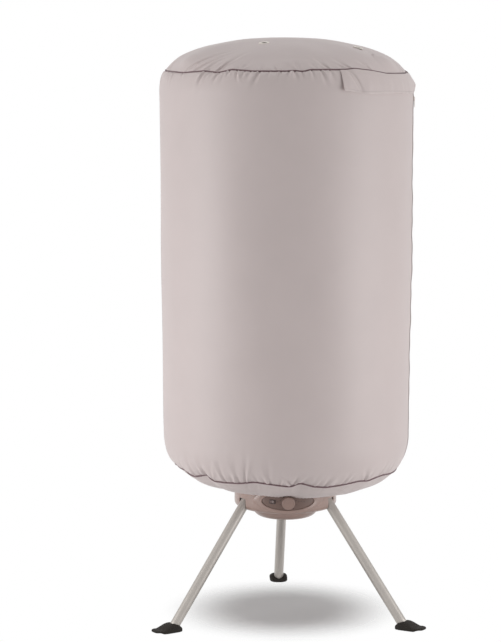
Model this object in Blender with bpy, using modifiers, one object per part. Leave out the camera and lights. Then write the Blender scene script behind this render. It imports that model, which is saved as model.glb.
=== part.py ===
"""Portable clothes dryer: a heater base on three folding legs, a central pole with six
folding hanger arms, and a round nylon cover that hangs over the arms.

Metres, +Z up, front towards -Y. Azimuths are in degrees from the front, positive to the right.
"""
from math import atan2, cos, degrees, exp, hypot, pi, radians, sin, sqrt, tan

import bmesh
import bpy
from mathutils import Matrix, Vector

# Gaps and cutters
CLEARANCE = 0.0003
CUT_OVERRUN = 0.006
WELD = 0.00001

# Sides of round pieces
ROUND_STEPS = 16
SMALL_STEPS = 12
FINE_STEPS = 24

# Heater base: the drum that everything else stands on or hangs from
DRUM_RADIUS = 0.1235
DRUM_WALL = 0.0025
DRUM_UNDERSIDE = 0.270
DRUM_HEIGHT = 0.068
DRUM_CORNER = 0.012
BOWL_DEPTH = 0.024
DRUM_TOP = DRUM_UNDERSIDE + DRUM_HEIGHT
BOWL_BOTTOM = DRUM_UNDERSIDE - BOWL_DEPTH

# Cover
COVER_RADIUS = 0.300
COVER_TAPER = 0.005
SHOULDER_INSET = 0.0135
CORNER_INSET = 0.0245
COVER_LOW_RADIUS = COVER_RADIUS - COVER_TAPER
SEAM_TOP_RADIUS = COVER_RADIUS - SHOULDER_INSET
SEAM_BOTTOM_RADIUS = COVER_LOW_RADIUS - CORNER_INSET
SEAM_RISE = 0.031
WALL_HEIGHT = 0.9447
CROWN_HEIGHT = 0.0803
SEAM_BOTTOM_HEIGHT = DRUM_TOP + SEAM_RISE
SEAM_TOP_HEIGHT = SEAM_BOTTOM_HEIGHT + WALL_HEIGHT
DRYER_HEIGHT = SEAM_TOP_HEIGHT + CROWN_HEIGHT
SHOULDER_DROP = 0.049
CORNER_RISE = 0.076
CORNER_TURN = 68.0
GATHER_REACH_TOP = 0.050
GATHER_REACH_BOTTOM = 0.150
GATHER_DEPTH_TOP = 0.0016
GATHER_DEPTH_BOTTOM = 0.0030
GATHER_COUNT = 15
CLOTH = 0.0012
PIPING_RADIUS = 0.0019
COVER_STEPS = 60
# crown outline from the top seam to the centre: shares of the seam radius and of the crown height
CROWN_SHARES = ((1.0, 0.0), (0.973, 0.112), (0.927, 0.28), (0.839, 0.485),
                (0.656, 0.72), (0.40, 0.915), (0.20, 0.98), (0.0, 1.0))
# bottom panel from its seam to the hem: shares of the way in and of the drop that is left
PANEL_SHARES = ((0.0, 1.0), (0.22, 0.56), (0.50, 0.27), (0.75, 0.13), (1.0, 0.0))
# seam waves: turns round the cover, height, phase in degrees
TOP_WAVES = ((3, 0.0025, 57), (6, 0.0032, -54), (13, 0.0018, 59))
BOTTOM_WAVES = ((1, 0.0057, 164), (6, 0.0032, 141), (13, 0.0036, -7))
WAVE_REACH = 0.070

# Zip and flap on the cover's right side
ZIP_AZIMUTH = 84.0
LEFT_SEAM_AZIMUTH = -90.0
ZIP_PLAIN_DEGREES = 9.0
ZIP_TAPE_DEGREES = 2.5
ZIP_TAPE_THICKNESS = 0.0010
ZIP_TAPE_DROP = 0.0417
SLIDER_DROP = 0.022
SLIDER_LENGTH = 0.012
SLIDER_WIDTH = 0.009
SLIDER_DEPTH = 0.0035
PULL_LENGTH = 0.018
PULL_WIDTH = 0.005
PULL_DEPTH = 0.0012
ZIP_TAPE_TOP = SEAM_TOP_HEIGHT - ZIP_TAPE_DROP
SLIDER_HEIGHT = ZIP_TAPE_TOP - SLIDER_DROP
FLAP_START_AZIMUTH = 22.0
FLAP_END_AZIMUTH = 97.0
FLAP_DROP = 0.0495
FLAP_STANDOFF = 0.0024
FLAP_FLARE = 0.0016
FLAP_BULGE = 0.0068
FLAP_BULGE_AZIMUTH = 90.0
FLAP_BULGE_DEGREES = 8.0
FLAP_BULGE_POWER = 2.4
FLAP_TOP_ANGLE = 15.0
FLAP_STEPS = 17

# Vent eyelets in the crown
EYELET_AZIMUTHS = (-20.0, 58.0, 160.0, 250.0)
EYELET_SHARES = (0.55, 0.69, 0.62, 0.62)
EYELET_RADIUS = 0.013
EYELET_BORE = 0.005
EYELET_NECK = 0.0065
EYELET_THICKNESS = 0.0012

# Hem
HEM_DROP = 0.024
HEM_LEAN = 0.0068
HEM_KNOB_LIFT = 0.0049
HEM_KNOB_DEGREES = 7.5
HEM_RADIUS = 0.0022
# where the hem climbs on to the bezel: shares of the bezel's half angle
HEM_CLIMB_START_SHARE = 1.35
HEM_CLIMB_SHARE = 0.25
HEM_HEIGHT = DRUM_TOP - HEM_DROP

# Lower shell and grilles
BOWL_RADIUS = 0.077
BOWL_FLAT_RADIUS = 0.054
BOWL_RIM_RISE = 0.0018
BOWL_EDGE_DROP = 0.0007
INTAKE_RADIUS = 0.050
LID_THICKNESS = 0.003
LID_SLOT_WIDTH = 0.005
LID_SLOT_INNER = 0.042
LID_SLOT_OUTER = 0.112
LID_SLOTS = 20
INTAKE_SLOT_WIDTH = 0.0045
INTAKE_SLOT_INNER = 0.014
INTAKE_SLOT_OUTER = 0.045
INTAKE_SLOTS = 12
DRUM_STEPS = 48

# Legs
LEG_AZIMUTHS = (("left", -60.0), ("right", 60.0), ("rear", 180.0))
LEG_HINGE_INSET = 0.0155
LEG_HINGE_RISE = 0.0267
LEG_SPLAY = 35.74
LEG_TUBE_RADIUS = 0.011
LEG_TUBE_WALL = 0.0013
LEG_TUBE_HEAD = 0.011
LEG_END_HEIGHT = 0.0090
LEG_SIDE_PLAY = 0.0008
LEG_SWING_PLAY = 0.0005
PIN_RADIUS = 0.0027
BRACKET_PLATE = 0.0018
BRACKET_FOOT_DROP = 0.0015
SLOT_RISE = 0.028
LEG_HINGE_RADIUS = DRUM_RADIUS - LEG_HINGE_INSET
LEG_HINGE_HEIGHT = DRUM_UNDERSIDE + LEG_HINGE_RISE
SLOT_TOP = DRUM_UNDERSIDE + SLOT_RISE

# Feet
FOOT_HEEL_INSET = 0.0165
FOOT_LENGTH = 0.0728
FOOT_HEIGHT = 0.0200
FOOT_HALF_WIDTH = 0.0225
LEG_END_REACH = LEG_HINGE_RADIUS + (LEG_HINGE_HEIGHT - LEG_END_HEIGHT) * tan(radians(LEG_SPLAY))
FOOT_HEEL_REACH = LEG_END_REACH - FOOT_HEEL_INSET
FOOT_TIP_REACH = FOOT_HEEL_REACH + FOOT_LENGTH
# side view: shares of the length from the heel and of the height
FOOT_SIDE_SHARES = ((0.0, 0.0), (0.676, 0.0), (0.80, 0.15), (0.97, 0.20), (1.0, 0.32), (0.93, 0.47),
                    (0.74, 0.44), (0.66, 0.50), (0.52, 0.79), (0.39, 0.97), (0.26, 1.0), (0.11, 0.84),
                    (0.0, 0.58))
# plan view: shares of the length and of the half width
FOOT_PLAN_SHARES = ((0.0, 0.74), (0.05, 0.90), (0.18, 1.0), (0.62, 1.0),
                    (0.80, 0.90), (0.93, 0.60), (1.0, 0.20))

# Controls on the drum's front
CONTROL_RISE = 0.031
BEZEL_HALF_WIDTH = 0.0835
BEZEL_HALF_HEIGHT = 0.0287
BEZEL_PROUD = 0.0032
PANEL_HALF_WIDTH = 0.062
PANEL_HALF_HEIGHT = 0.020
PANEL_PROUD = 0.0020
CONTROL_REACH_BACK = 0.085
OVAL_STEPS = 36
KNOB_RADIUS = 0.0155
KNOB_DEPTH = 0.012
KNOB_CHAMFER = 0.0012
KNOB_DROP = 0.001
KNOB_STEM_RADIUS = 0.003
KNOB_STEM_DEPTH = 0.0145
SWITCH_AZIMUTH = -17.5
SWITCH_RISE = 0.0005
SWITCH_HALF_WIDTH = 0.0078
SWITCH_HALF_HEIGHT = 0.0048
SWITCH_WALL = 0.0014
SWITCH_PROUD = 0.0008
SWITCH_DEPTH = 0.015
ROCKER_TILT = 6.0
ROCKER_POCKET = 0.0078
ROCKER_PIVOT_DEPTH = 0.0040
ROCKER_TAIL = 0.0016
CONTROL_HEIGHT = DRUM_UNDERSIDE + CONTROL_RISE
KNOB_HEIGHT = CONTROL_HEIGHT - KNOB_DROP
SWITCH_HEIGHT = CONTROL_HEIGHT + SWITCH_RISE

# Inside the base
SPIDER_THICKNESS = 0.0026
SPIDER_HUB_RADIUS = 0.028
SPIDER_ARM_HALF_WIDTH = 0.006
MOTOR_RADIUS = 0.026
MOTOR_HEIGHT = 0.024
SHAFT_RADIUS = 0.0025
SHAFT_LENGTH = 0.012
FAN_RADIUS = 0.072
FAN_HUB_RADIUS = 0.020
FAN_HUB_HEIGHT = 0.013
FAN_HUB_ROOF = 0.003
FAN_LIFT = 0.002
FAN_BLADES = 7
BLADE_CHORD = 0.016
BLADE_THICKNESS = 0.0015
BLADE_PITCH = 35.0
HEATER_HALF_LENGTH = 0.060
HEATER_HALF_WIDTH = 0.045
HEATER_HEIGHT = 0.018
HEATER_WALL = 0.008
ELEMENT_HEIGHT = 0.013
FIN_GAP = 0.004
FIN_COUNT = 8
THERMOSTAT_RADIUS = 0.008
THERMOSTAT_DEPTH = 0.007
TIMER_HALF_WIDTH = 0.021
TIMER_DEPTH = 0.023
TIMER_HALF_HEIGHT = 0.0155
GLAND_AZIMUTH = 148.0
GLAND_RISE = 0.023
GLAND_NECK = 0.006
GLAND_FLANGE = 0.009
GLAND_BORE = 0.0035
GLAND_PLATE = 0.003
GLAND_HEIGHT = DRUM_UNDERSIDE + GLAND_RISE

# Pole
POLE_RADIUS = 0.0125
POLE_WALL = 0.0012
POLE_PIECES = ("pole_lower", "pole_middle", "pole_upper")
COUPLER_WALL = 0.0022
COUPLER_LENGTH = 0.050
SOCKET_WALL = 0.0035
SOCKET_FLANGE_RADIUS = 0.034
SOCKET_FLANGE = 0.003
SOCKET_SEAT = 0.001
SOCKET_DEPTH = 0.038

# Hub and hanger arms
ARM_COUNT = 6
ARM_HINGE_RADIUS = 0.0315
ARM_HINGE_DROP = 0.030
ARM_REACH = 0.2655
ARM_THICKNESS = 0.005
ARM_DEPTH = 0.011
ARM_ARCH = 0.014
ARM_EYE_RADIUS = 0.0055
ARM_CROWN_GAP = 0.0004
HANGER_NOTCHES = 4
NOTCH_WIDTH = 0.006
NOTCH_DEPTH = 0.004
NOTCH_END_SHARE = 0.6
RING_WIRE_RADIUS = 0.0015
RING_PLAY = 0.0005
HUB_RADIUS = 0.041
HUB_CORE_RADIUS = 0.0245
HUB_SLEEVE_WALL = 0.0040
HUB_SLEEVE_DEPTH = 0.020
HUB_CAP_HEIGHT = 0.0045
HUB_CAP_CHAMFER = 0.0015
HINGE_OVER_POLE = 0.0098
ARM_HINGE_HEIGHT = DRYER_HEIGHT - ARM_HINGE_DROP
POLE_TOP = ARM_HINGE_HEIGHT - HINGE_OVER_POLE

AXIS_Y = (COVER_RADIUS - FOOT_TIP_REACH) / 2


def srgb(red, green, blue):
    """Linear colour from 0 to 255 screen values, none of them near black."""
    return tuple(((c / 255 + 0.055) / 1.055) ** 2.4 for c in (red, green, blue))


FINISHES = {
    "nylon": (srgb(203, 194, 191), 0.55, 0.0),
    "piping": (srgb(112, 88, 90), 0.7, 0.0),
    "zip": (srgb(150, 136, 134), 0.6, 0.0),
    "brass": (srgb(214, 204, 190), 0.35, 0.8),
    "shell": (srgb(170, 152, 145), 0.35, 0.0),
    "panel": (srgb(109, 91, 85), 0.4, 0.0),
    "knob": (srgb(140, 120, 113), 0.4, 0.0),
    "dark": (srgb(52, 44, 42), 0.5, 0.0),
    "rocker": (srgb(112, 86, 84), 0.3, 0.0),
    "rubber": (srgb(46, 40, 37), 0.8, 0.0),
    "aluminium": (srgb(190, 184, 176), 0.35, 0.9),
    "steel": (srgb(150, 150, 152), 0.3, 1.0),
    "arm": (srgb(214, 212, 208), 0.45, 0.0),
    "ceramic": (srgb(196, 190, 180), 0.7, 0.0),
}


def clear_scene():
    """Remove every object of the opened scene."""
    for item in list(bpy.data.objects):
        bpy.data.objects.remove(item, do_unlink=True)


def new_collection(name):
    """Collection of that name, linked to the scene."""
    group = bpy.data.collections.new(name)
    bpy.context.scene.collection.children.link(group)
    return group


clear_scene()
PARTS = new_collection("clothes_dryer")
CUTTERS = new_collection("cutters")


def finish(name, look):
    """Principled material for one part."""
    colour, roughness, metallic = FINISHES[look]
    material = bpy.data.materials.new(name)
    material.use_nodes = True
    shader = material.node_tree.nodes["Principled BSDF"]
    shader.inputs["Base Color"].default_value = (*colour, 1)
    shader.inputs["Roughness"].default_value = roughness
    shader.inputs["Metallic"].default_value = metallic
    return material


def add_object(name, mesh, look, parent, place=(0, 0, 0), turn=(0, 0, 0)):
    """Link a part, or a cutter if it has no look, under its parent empty."""
    item = bpy.data.objects.new(name, mesh)
    item.parent = parent
    item.location = place
    item.rotation_euler = turn
    if look is None:
        CUTTERS.objects.link(item)
        item.hide_render = True
        item.display_type = "WIRE"
    else:
        PARTS.objects.link(item)
        mesh.materials.append(finish(name, look))
    return item


def guide(name, parent=None, place=(0, 0, 0), turn=(0, 0, 0)):
    """Empty that carries parts."""
    item = bpy.data.objects.new(name, None)
    PARTS.objects.link(item)
    item.parent = parent
    item.location = place
    item.rotation_euler = turn
    item.empty_display_size = CUT_OVERRUN
    return item


def station(name, azimuth, parent):
    """Empty on the dryer's axis whose +X points outwards at an azimuth."""
    return guide(name, parent, turn=(0, 0, radians(azimuth - 90)))


def mesh_from(builder, name):
    """Mesh data from a bmesh, which is freed."""
    mesh = bpy.data.meshes.new(name)
    builder.to_mesh(mesh)
    builder.free()
    return mesh


def box(name, low, high, look, parent, place=(0, 0, 0), turn=(0, 0, 0)):
    """Box between two corners, in the parent's axes."""
    builder = bmesh.new()
    bmesh.ops.create_cube(builder, size=1)
    low, high = Vector(low), Vector(high)
    for vertex in builder.verts:
        vertex.co = Vector(a + (b - a) * (c + 0.5) for a, b, c in zip(low, high, vertex.co))
    return add_object(name, mesh_from(builder, name), look, parent, place, turn)


def cylinder(name, radius, bottom, top, look, parent, place=(0, 0, 0), turn=(0, 0, 0),
             steps=ROUND_STEPS):
    """Cylinder along its own Z from bottom to top."""
    builder = bmesh.new()
    bmesh.ops.create_cone(builder, cap_ends=True, segments=steps, radius1=radius, radius2=radius,
                          depth=top - bottom)
    bmesh.ops.translate(builder, verts=builder.verts, vec=(0, 0, (top + bottom) / 2))
    return add_object(name, mesh_from(builder, name), look, parent, place, turn)


def turned(name, outline, look, parent, place=(0, 0, 0), turn=(0, 0, 0), steps=ROUND_STEPS):
    """Turned solid: (radius, height) points down the outer side and back up the inner side."""
    builder = bmesh.new()
    points = [builder.verts.new((radius, 0, height)) for radius, height in outline]
    for first, second in zip(points, points[1:]):
        builder.edges.new((first, second))
    if outline[0][0] > 0:
        builder.edges.new((points[-1], points[0]))
    item = add_object(name, mesh_from(builder, name), look, parent, place, turn)
    screw = item.modifiers.new("turn", "SCREW")
    screw.steps = steps
    screw.render_steps = steps
    screw.use_merge_vertices = True
    screw.merge_threshold = WELD
    screw.use_smooth_shade = False
    return item


def plate(name, outlines, half_thickness, look, parent, place=(0, 0, 0), turn=(0, 0, 0), upright=False):
    """Flat plate from closed outlines; an outline inside another is a hole. Upright puts it in XZ."""
    curve = bpy.data.curves.new(name, "CURVE")
    curve.dimensions = "2D"
    curve.fill_mode = "BOTH"
    curve.extrude = half_thickness
    for outline in outlines:
        spline = curve.splines.new("POLY")
        spline.points.add(len(outline) - 1)
        for point, (x, y) in zip(spline.points, outline):
            point.co = (x, y, 0, 1)
        spline.use_cyclic_u = True
    draft = bpy.data.objects.new(name + "_outline", curve)
    CUTTERS.objects.link(draft)
    evaluated = draft.evaluated_get(bpy.context.evaluated_depsgraph_get())
    mesh = bpy.data.meshes.new_from_object(evaluated)
    builder = bmesh.new()
    builder.from_mesh(mesh)
    bmesh.ops.remove_doubles(builder, verts=builder.verts, dist=WELD)
    bmesh.ops.recalc_face_normals(builder, faces=builder.faces)
    if upright:
        builder.transform(Matrix.Rotation(pi / 2, 4, "X"))
    bpy.data.objects.remove(draft)
    bpy.data.meshes.remove(mesh)
    return add_object(name, mesh_from(builder, name), look, parent, place, turn)


def closed_wire(name, points, radius, look, parent):
    """Round bead along a closed line of points."""
    curve = bpy.data.curves.new(name, "CURVE")
    curve.dimensions = "3D"
    curve.bevel_depth = radius
    curve.bevel_resolution = 0
    spline = curve.splines.new("POLY")
    spline.points.add(len(points) - 1)
    for point, place in zip(spline.points, points):
        point.co = (*place, 1)
    spline.use_cyclic_u = True
    item = bpy.data.objects.new(name, curve)
    item.parent = parent
    PARTS.objects.link(item)
    curve.materials.append(finish(name, look))
    return item


def boolean(item, tool, operation="DIFFERENCE"):
    """Cut, join or intersect with another object."""
    step = item.modifiers.new(tool.name, "BOOLEAN")
    step.operation = operation
    step.solver = "EXACT"
    step.object = tool


def around(radius, azimuth, height):
    """Point at a radius, azimuth and height about the dryer's axis."""
    angle = radians(azimuth)
    return Vector((radius * sin(angle), -radius * cos(angle), height))


def arc(centre, radius, start, end, steps):
    """Points on an arc in the (radius, height) plane, angles in degrees from +radius."""
    angles = [radians(start + (end - start) * k / steps) for k in range(steps + 1)]
    return [(centre[0] + radius * cos(a), centre[1] + radius * sin(a)) for a in angles]


def slot_cutter(name, count, inner, outer, width, low, high, parent):
    """Ring of radial slots as one cutter, the first at the front."""
    builder = bmesh.new()
    for index in range(count):
        blank = bmesh.ops.create_cube(builder, size=1)["verts"]
        middle = Matrix.Translation(((inner + outer) / 2, 0, (low + high) / 2))
        size = Matrix.Diagonal((outer - inner, width, high - low, 1))
        spin = Matrix.Rotation(2 * pi * index / count - pi / 2, 4, "Z")
        bmesh.ops.transform(builder, matrix=spin @ middle @ size, verts=blank)
    return add_object(name, mesh_from(builder, name), None, parent)


def draped_sheet(name, azimuths, rows, place, look, parent, closed, thickness):
    """Cloth or tape on a grid: place(azimuth, row) gives (radius, height) of its outer face."""
    builder = bmesh.new()
    across, down = len(azimuths) - 1, len(rows) - 1
    bmesh.ops.create_grid(builder, x_segments=across, y_segments=down, size=0.5)
    for vertex in builder.verts:
        azimuth = azimuths[round((vertex.co.x + 0.5) * across)]
        row = rows[round((0.5 - vertex.co.y) * down)]
        radius, height = place(azimuth, row)
        vertex.co = around(radius, azimuth, height)
    if closed:
        bmesh.ops.remove_doubles(builder, verts=builder.verts, dist=WELD)
    item = add_object(name, mesh_from(builder, name), look, parent)
    shell = item.modifiers.new("thickness", "SOLIDIFY")
    shell.thickness = thickness
    shell.offset = -1
    shell.use_even_offset = True
    shell.use_rim = True
    return item


def steps_between(start, end, count):
    """Evenly spaced values from start to end."""
    return [start + (end - start) * k / count for k in range(count + 1)]


def wave(terms, azimuth):
    """Rise of a seam at an azimuth."""
    return sum(height * sin(radians(turns * azimuth + phase)) for turns, height, phase in terms)


def gather(azimuth):
    """Depth share of the gathers, none near the zip."""
    off = (azimuth - ZIP_AZIMUTH + 180) % 360 - 180
    plain = 1 - exp(-((off / ZIP_PLAIN_DEGREES) ** 2))
    return plain * (0.5 - 0.5 * cos(radians(GATHER_COUNT * azimuth)))


def fade(distance, reach):
    """One at a seam, falling to nothing at its reach."""
    return max(0.0, 1 - distance / reach) ** 2


def edge_gap():
    """Distance from a seam's line to the sheets that it joins."""
    return PIPING_RADIUS + CLEARANCE


def wall_rows():
    """Rows of the side wall from the top seam to the bottom seam, as (radius, height)."""
    top = SEAM_TOP_HEIGHT - edge_gap()
    low = SEAM_BOTTOM_HEIGHT + edge_gap()
    bulge = COVER_RADIUS - SEAM_TOP_RADIUS
    tuck = COVER_LOW_RADIUS - SEAM_BOTTOM_RADIUS
    turns = [radians(a) for a in (0, 24, 52, 90)]
    shoulder = [(SEAM_TOP_RADIUS + bulge * sin(a), top - SHOULDER_DROP * (1 - cos(a))) for a in turns]
    last = radians(CORNER_TURN)
    corner = []
    for share in (0, 0.31, 0.65, 1):
        reach = (cos(share * last) - cos(last)) / (1 - cos(last))
        height = 1 - sin(share * last) / sin(last)
        corner.append((SEAM_BOTTOM_RADIUS + tuck * reach, low + CORNER_RISE * height))
    share = (corner[0][1] - low + GATHER_REACH_BOTTOM / 2) / (shoulder[-1][1] - corner[0][1])
    middle = [(COVER_LOW_RADIUS + (COVER_RADIUS - COVER_LOW_RADIUS) * share,
               corner[0][1] + (shoulder[-1][1] - corner[0][1]) * share)]
    return shoulder + middle + corner


def wall_place(azimuth, row):
    """Outer face of the side wall, with its waves and gathers."""
    radius, height = row
    from_top = SEAM_TOP_HEIGHT - height
    from_bottom = height - SEAM_BOTTOM_HEIGHT
    rise = wave(TOP_WAVES, azimuth) * fade(from_top - edge_gap(), WAVE_REACH)
    rise += wave(BOTTOM_WAVES, azimuth) * fade(from_bottom - edge_gap(), WAVE_REACH)
    depth = GATHER_DEPTH_TOP * fade(from_top, GATHER_REACH_TOP)
    depth += GATHER_DEPTH_BOTTOM * fade(from_bottom, GATHER_REACH_BOTTOM)
    at_seam = min(from_top, from_bottom) < 2 * edge_gap()
    return radius - (0 if at_seam else depth * gather(azimuth)), height + rise


def crown_height(radius):
    """Height of the crown's outer face above the top seam's mean line, at a radius."""
    share = radius / SEAM_TOP_RADIUS
    for (outer, low), (inner, high) in zip(CROWN_SHARES, CROWN_SHARES[1:]):
        if share >= inner:
            return CROWN_HEIGHT * (low + (high - low) * (outer - share) / (outer - inner))
    return CROWN_HEIGHT


def crown_slope(radius):
    """Fall of the crown per unit of radius."""
    step = CLOTH / 4
    return (crown_height(radius - step) - crown_height(radius + step)) / (2 * step)


def crown_place(azimuth, row):
    """Outer face of the crown; its edge follows the top seam."""
    radius = SEAM_TOP_RADIUS * row[0]
    lift = edge_gap() + CLOTH
    rise = row[1] * (CROWN_HEIGHT - lift) + lift
    near_seam = fade(SEAM_TOP_RADIUS - radius, GATHER_REACH_TOP / 2)
    return radius, SEAM_TOP_HEIGHT + rise + wave(TOP_WAVES, azimuth) * near_seam


def hem_place(azimuth):
    """Centre line of the elastic hem: round the drum, over the bezel and above the knob."""
    off = (azimuth + 180) % 360 - 180
    reach = degrees(atan2(BEZEL_HALF_WIDTH, sqrt(DRUM_RADIUS ** 2 - BEZEL_HALF_WIDTH ** 2)))
    climb = (reach * HEM_CLIMB_START_SHARE - abs(off)) / (reach * HEM_CLIMB_SHARE)
    over_bezel = min(1.0, max(0.0, climb))
    radius = DRUM_RADIUS + CLEARANCE + HEM_RADIUS / cos(pi / COVER_STEPS)
    radius += over_bezel * (BEZEL_PROUD + CLEARANCE)
    height = HEM_HEIGHT - HEM_LEAN * sin(radians(azimuth))
    return radius + WELD, height + HEM_KNOB_LIFT * exp(-((off / HEM_KNOB_DEGREES) ** 2))


def panel_place(azimuth, row):
    """Outer, lower face of the bottom panel between its seam and the hem."""
    inward, drop = row
    hem_radius, hem_height = hem_place(azimuth)
    start = SEAM_BOTTOM_HEIGHT - edge_gap() - CLOTH + wave(BOTTOM_WAVES, azimuth)
    end_radius = hem_radius + HEM_RADIUS + CLEARANCE
    radius = SEAM_BOTTOM_RADIUS + (end_radius - SEAM_BOTTOM_RADIUS) * inward
    return radius, hem_height + (start - hem_height) * drop


def build_cover(parent):
    """Crown, side wall in two halves, bottom panel, piping, hem, zip, flap and vent eyelets."""
    ring = steps_between(-180, 180, COVER_STEPS)
    crown = draped_sheet("cover_dome", ring, CROWN_SHARES[::-1], crown_place, "nylon", parent, True, CLOTH)
    step = 360 / COVER_STEPS
    gap = degrees(CLEARANCE / COVER_RADIUS) / 2
    front_count = round((ZIP_AZIMUTH - LEFT_SEAM_AZIMUTH) / step)
    front = steps_between(LEFT_SEAM_AZIMUTH, ZIP_AZIMUTH, front_count)
    back = steps_between(ZIP_AZIMUTH, LEFT_SEAM_AZIMUTH + 360, COVER_STEPS - front_count)
    for name, line in (("cover_front", front), ("cover_back", back)):
        line[0] += gap
        line[-1] -= gap
        draped_sheet(name, line, wall_rows(), wall_place, "nylon", parent, False, CLOTH)
    draped_sheet("cover_bottom", ring, PANEL_SHARES, panel_place, "nylon", parent, True, CLOTH)
    top = [around(SEAM_TOP_RADIUS, a, SEAM_TOP_HEIGHT + wave(TOP_WAVES, a)) for a in ring[:-1]]
    closed_wire("top_piping", top, PIPING_RADIUS, "piping", parent)
    low = [around(SEAM_BOTTOM_RADIUS, a, SEAM_BOTTOM_HEIGHT + wave(BOTTOM_WAVES, a)) for a in ring[:-1]]
    closed_wire("bottom_piping", low, PIPING_RADIUS, "piping", parent)
    hem = [around(hem_place(a)[0], a, hem_place(a)[1]) for a in ring[:-1]]
    closed_wire("hem_elastic", hem, HEM_RADIUS, "nylon", parent)
    build_zip(parent)
    build_eyelets(crown, parent)


def tape_place(azimuth, row):
    """Outer face of the zip tape, just off the wall."""
    radius, height = wall_place(azimuth, row)
    return radius + CLEARANCE + ZIP_TAPE_THICKNESS, height


def flap_place(azimuth, row):
    """Outer face of the flap: round the shoulder, then down, with a bulge at its free end."""
    bulge = exp(-(((azimuth - FLAP_BULGE_AZIMUTH) / FLAP_BULGE_DEGREES) ** 2))
    bulge *= sin(pi * row ** FLAP_BULGE_POWER)
    stand = FLAP_STANDOFF + FLAP_FLARE * row + FLAP_BULGE * bulge
    turn = radians(FLAP_TOP_ANGLE + (90 - FLAP_TOP_ANGLE) * row)
    top = SEAM_TOP_HEIGHT - edge_gap() + wave(TOP_WAVES, azimuth) * (1 - row)
    radius = SEAM_TOP_RADIUS + (COVER_RADIUS - SEAM_TOP_RADIUS + stand) * sin(turn)
    return radius, top - FLAP_DROP + (FLAP_DROP + FLAP_STANDOFF) * cos(turn)


def build_zip(parent):
    """Tape over the wall's split edge, its slider with a pull, and the flap above them."""
    tape_rows = [row for row in wall_rows() if row[1] < ZIP_TAPE_TOP]
    tape_rows[0] = (COVER_RADIUS, ZIP_TAPE_TOP)
    span = steps_between(ZIP_AZIMUTH - ZIP_TAPE_DEGREES, ZIP_AZIMUTH + ZIP_TAPE_DEGREES, 2)
    draped_sheet("zip_tape", span, tape_rows[:-1], tape_place, "zip", parent, False, ZIP_TAPE_THICKNESS)
    span = steps_between(FLAP_START_AZIMUTH, FLAP_END_AZIMUTH, FLAP_STEPS)
    draped_sheet("zip_flap", span, steps_between(0, 1, 5), flap_place, "nylon", parent, False, CLOTH)
    face = COVER_RADIUS + ZIP_TAPE_THICKNESS + 2 * CLEARANCE
    side = station("zip_station", ZIP_AZIMUTH, parent)
    rows = wall_rows()
    lean = atan2(COVER_RADIUS - COVER_LOW_RADIUS, rows[3][1] - rows[5][1])
    carrier = guide("zip_slide", side, (face, 0, SLIDER_HEIGHT), (0, lean, 0))
    low = (0, -SLIDER_WIDTH / 2, -SLIDER_LENGTH / 2)
    high = (SLIDER_DEPTH, SLIDER_WIDTH / 2, SLIDER_LENGTH / 2)
    slider = box("zip_slider", low, high, "steel", carrier)
    low = (SLIDER_DEPTH - PULL_DEPTH, -PULL_WIDTH / 2, -PULL_LENGTH)
    pull = box("zip_pull_form", low, (SLIDER_DEPTH, PULL_WIDTH / 2, 0), None, carrier)
    boolean(slider, pull, "UNION")


def build_eyelets(crown, parent):
    """Round vent eyelets seated through the crown."""
    lift = edge_gap() + CLOTH
    for index, (azimuth, share) in enumerate(zip(EYELET_AZIMUTHS, EYELET_SHARES)):
        pitch = share * SEAM_TOP_RADIUS
        height = SEAM_TOP_HEIGHT + lift + crown_height(pitch) * (CROWN_HEIGHT - lift) / CROWN_HEIGHT
        tilt = atan2(crown_slope(pitch), 1)
        face = CLEARANCE + EYELET_RADIUS ** 2 / pitch / 2
        post = station(f"eyelet_station_{index + 1}", azimuth, parent)
        seat = guide(f"eyelet_seat_{index + 1}", post, (pitch, 0, height), (0, tilt, 0))
        hole = cylinder(f"eyelet_hole_{index + 1}", EYELET_NECK + CLEARANCE, -CUT_OVERRUN, CUT_OVERRUN,
                        None, seat, steps=SMALL_STEPS)
        boolean(crown, hole)
        outline = [(EYELET_RADIUS, face + EYELET_THICKNESS), (EYELET_RADIUS, face), (EYELET_NECK, face),
                   (EYELET_NECK, -CLOTH), (EYELET_BORE, -CLOTH), (EYELET_BORE, face + EYELET_THICKNESS)]
        turned(f"vent_eyelet_{index + 1}", outline, "brass", seat, steps=SMALL_STEPS)


def drum_outline():
    """Upper shell: a ring with a rounded lower edge and an inward lip."""
    centre = (DRUM_RADIUS - DRUM_CORNER, DRUM_UNDERSIDE + DRUM_CORNER)
    outside = arc(centre, DRUM_CORNER, 0, -90, 4)
    inside = arc(centre, DRUM_CORNER - DRUM_WALL, -90, 0, 3)
    return [(DRUM_RADIUS, DRUM_TOP)] + outside + inside + [(DRUM_RADIUS - DRUM_WALL, DRUM_TOP)]


def bowl_outline():
    """Lower shell: a flat ring in the drum's lip and a shallow dish with an intake opening."""
    rim = DRUM_RADIUS - DRUM_CORNER - CLEARANCE
    edge = DRUM_UNDERSIDE - BOWL_EDGE_DROP
    depth = edge - BOWL_BOTTOM
    spread = BOWL_RADIUS - BOWL_FLAT_RADIUS
    turns = [radians(a) for a in (0, 30, 60, 90)]
    outside = [(BOWL_FLAT_RADIUS + spread * cos(a), edge - depth * sin(a)) for a in turns]
    spread -= DRUM_WALL
    depth -= DRUM_WALL
    inside = [(BOWL_FLAT_RADIUS + spread * cos(a), edge - depth * sin(a)) for a in turns[::-1]]
    top = DRUM_UNDERSIDE + BOWL_RIM_RISE
    hole = [(INTAKE_RADIUS, BOWL_BOTTOM), (INTAKE_RADIUS, BOWL_BOTTOM + DRUM_WALL)]
    return [(rim, top), (rim, edge)] + outside + hole + inside + [(BOWL_RADIUS - DRUM_WALL, top)]


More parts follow.
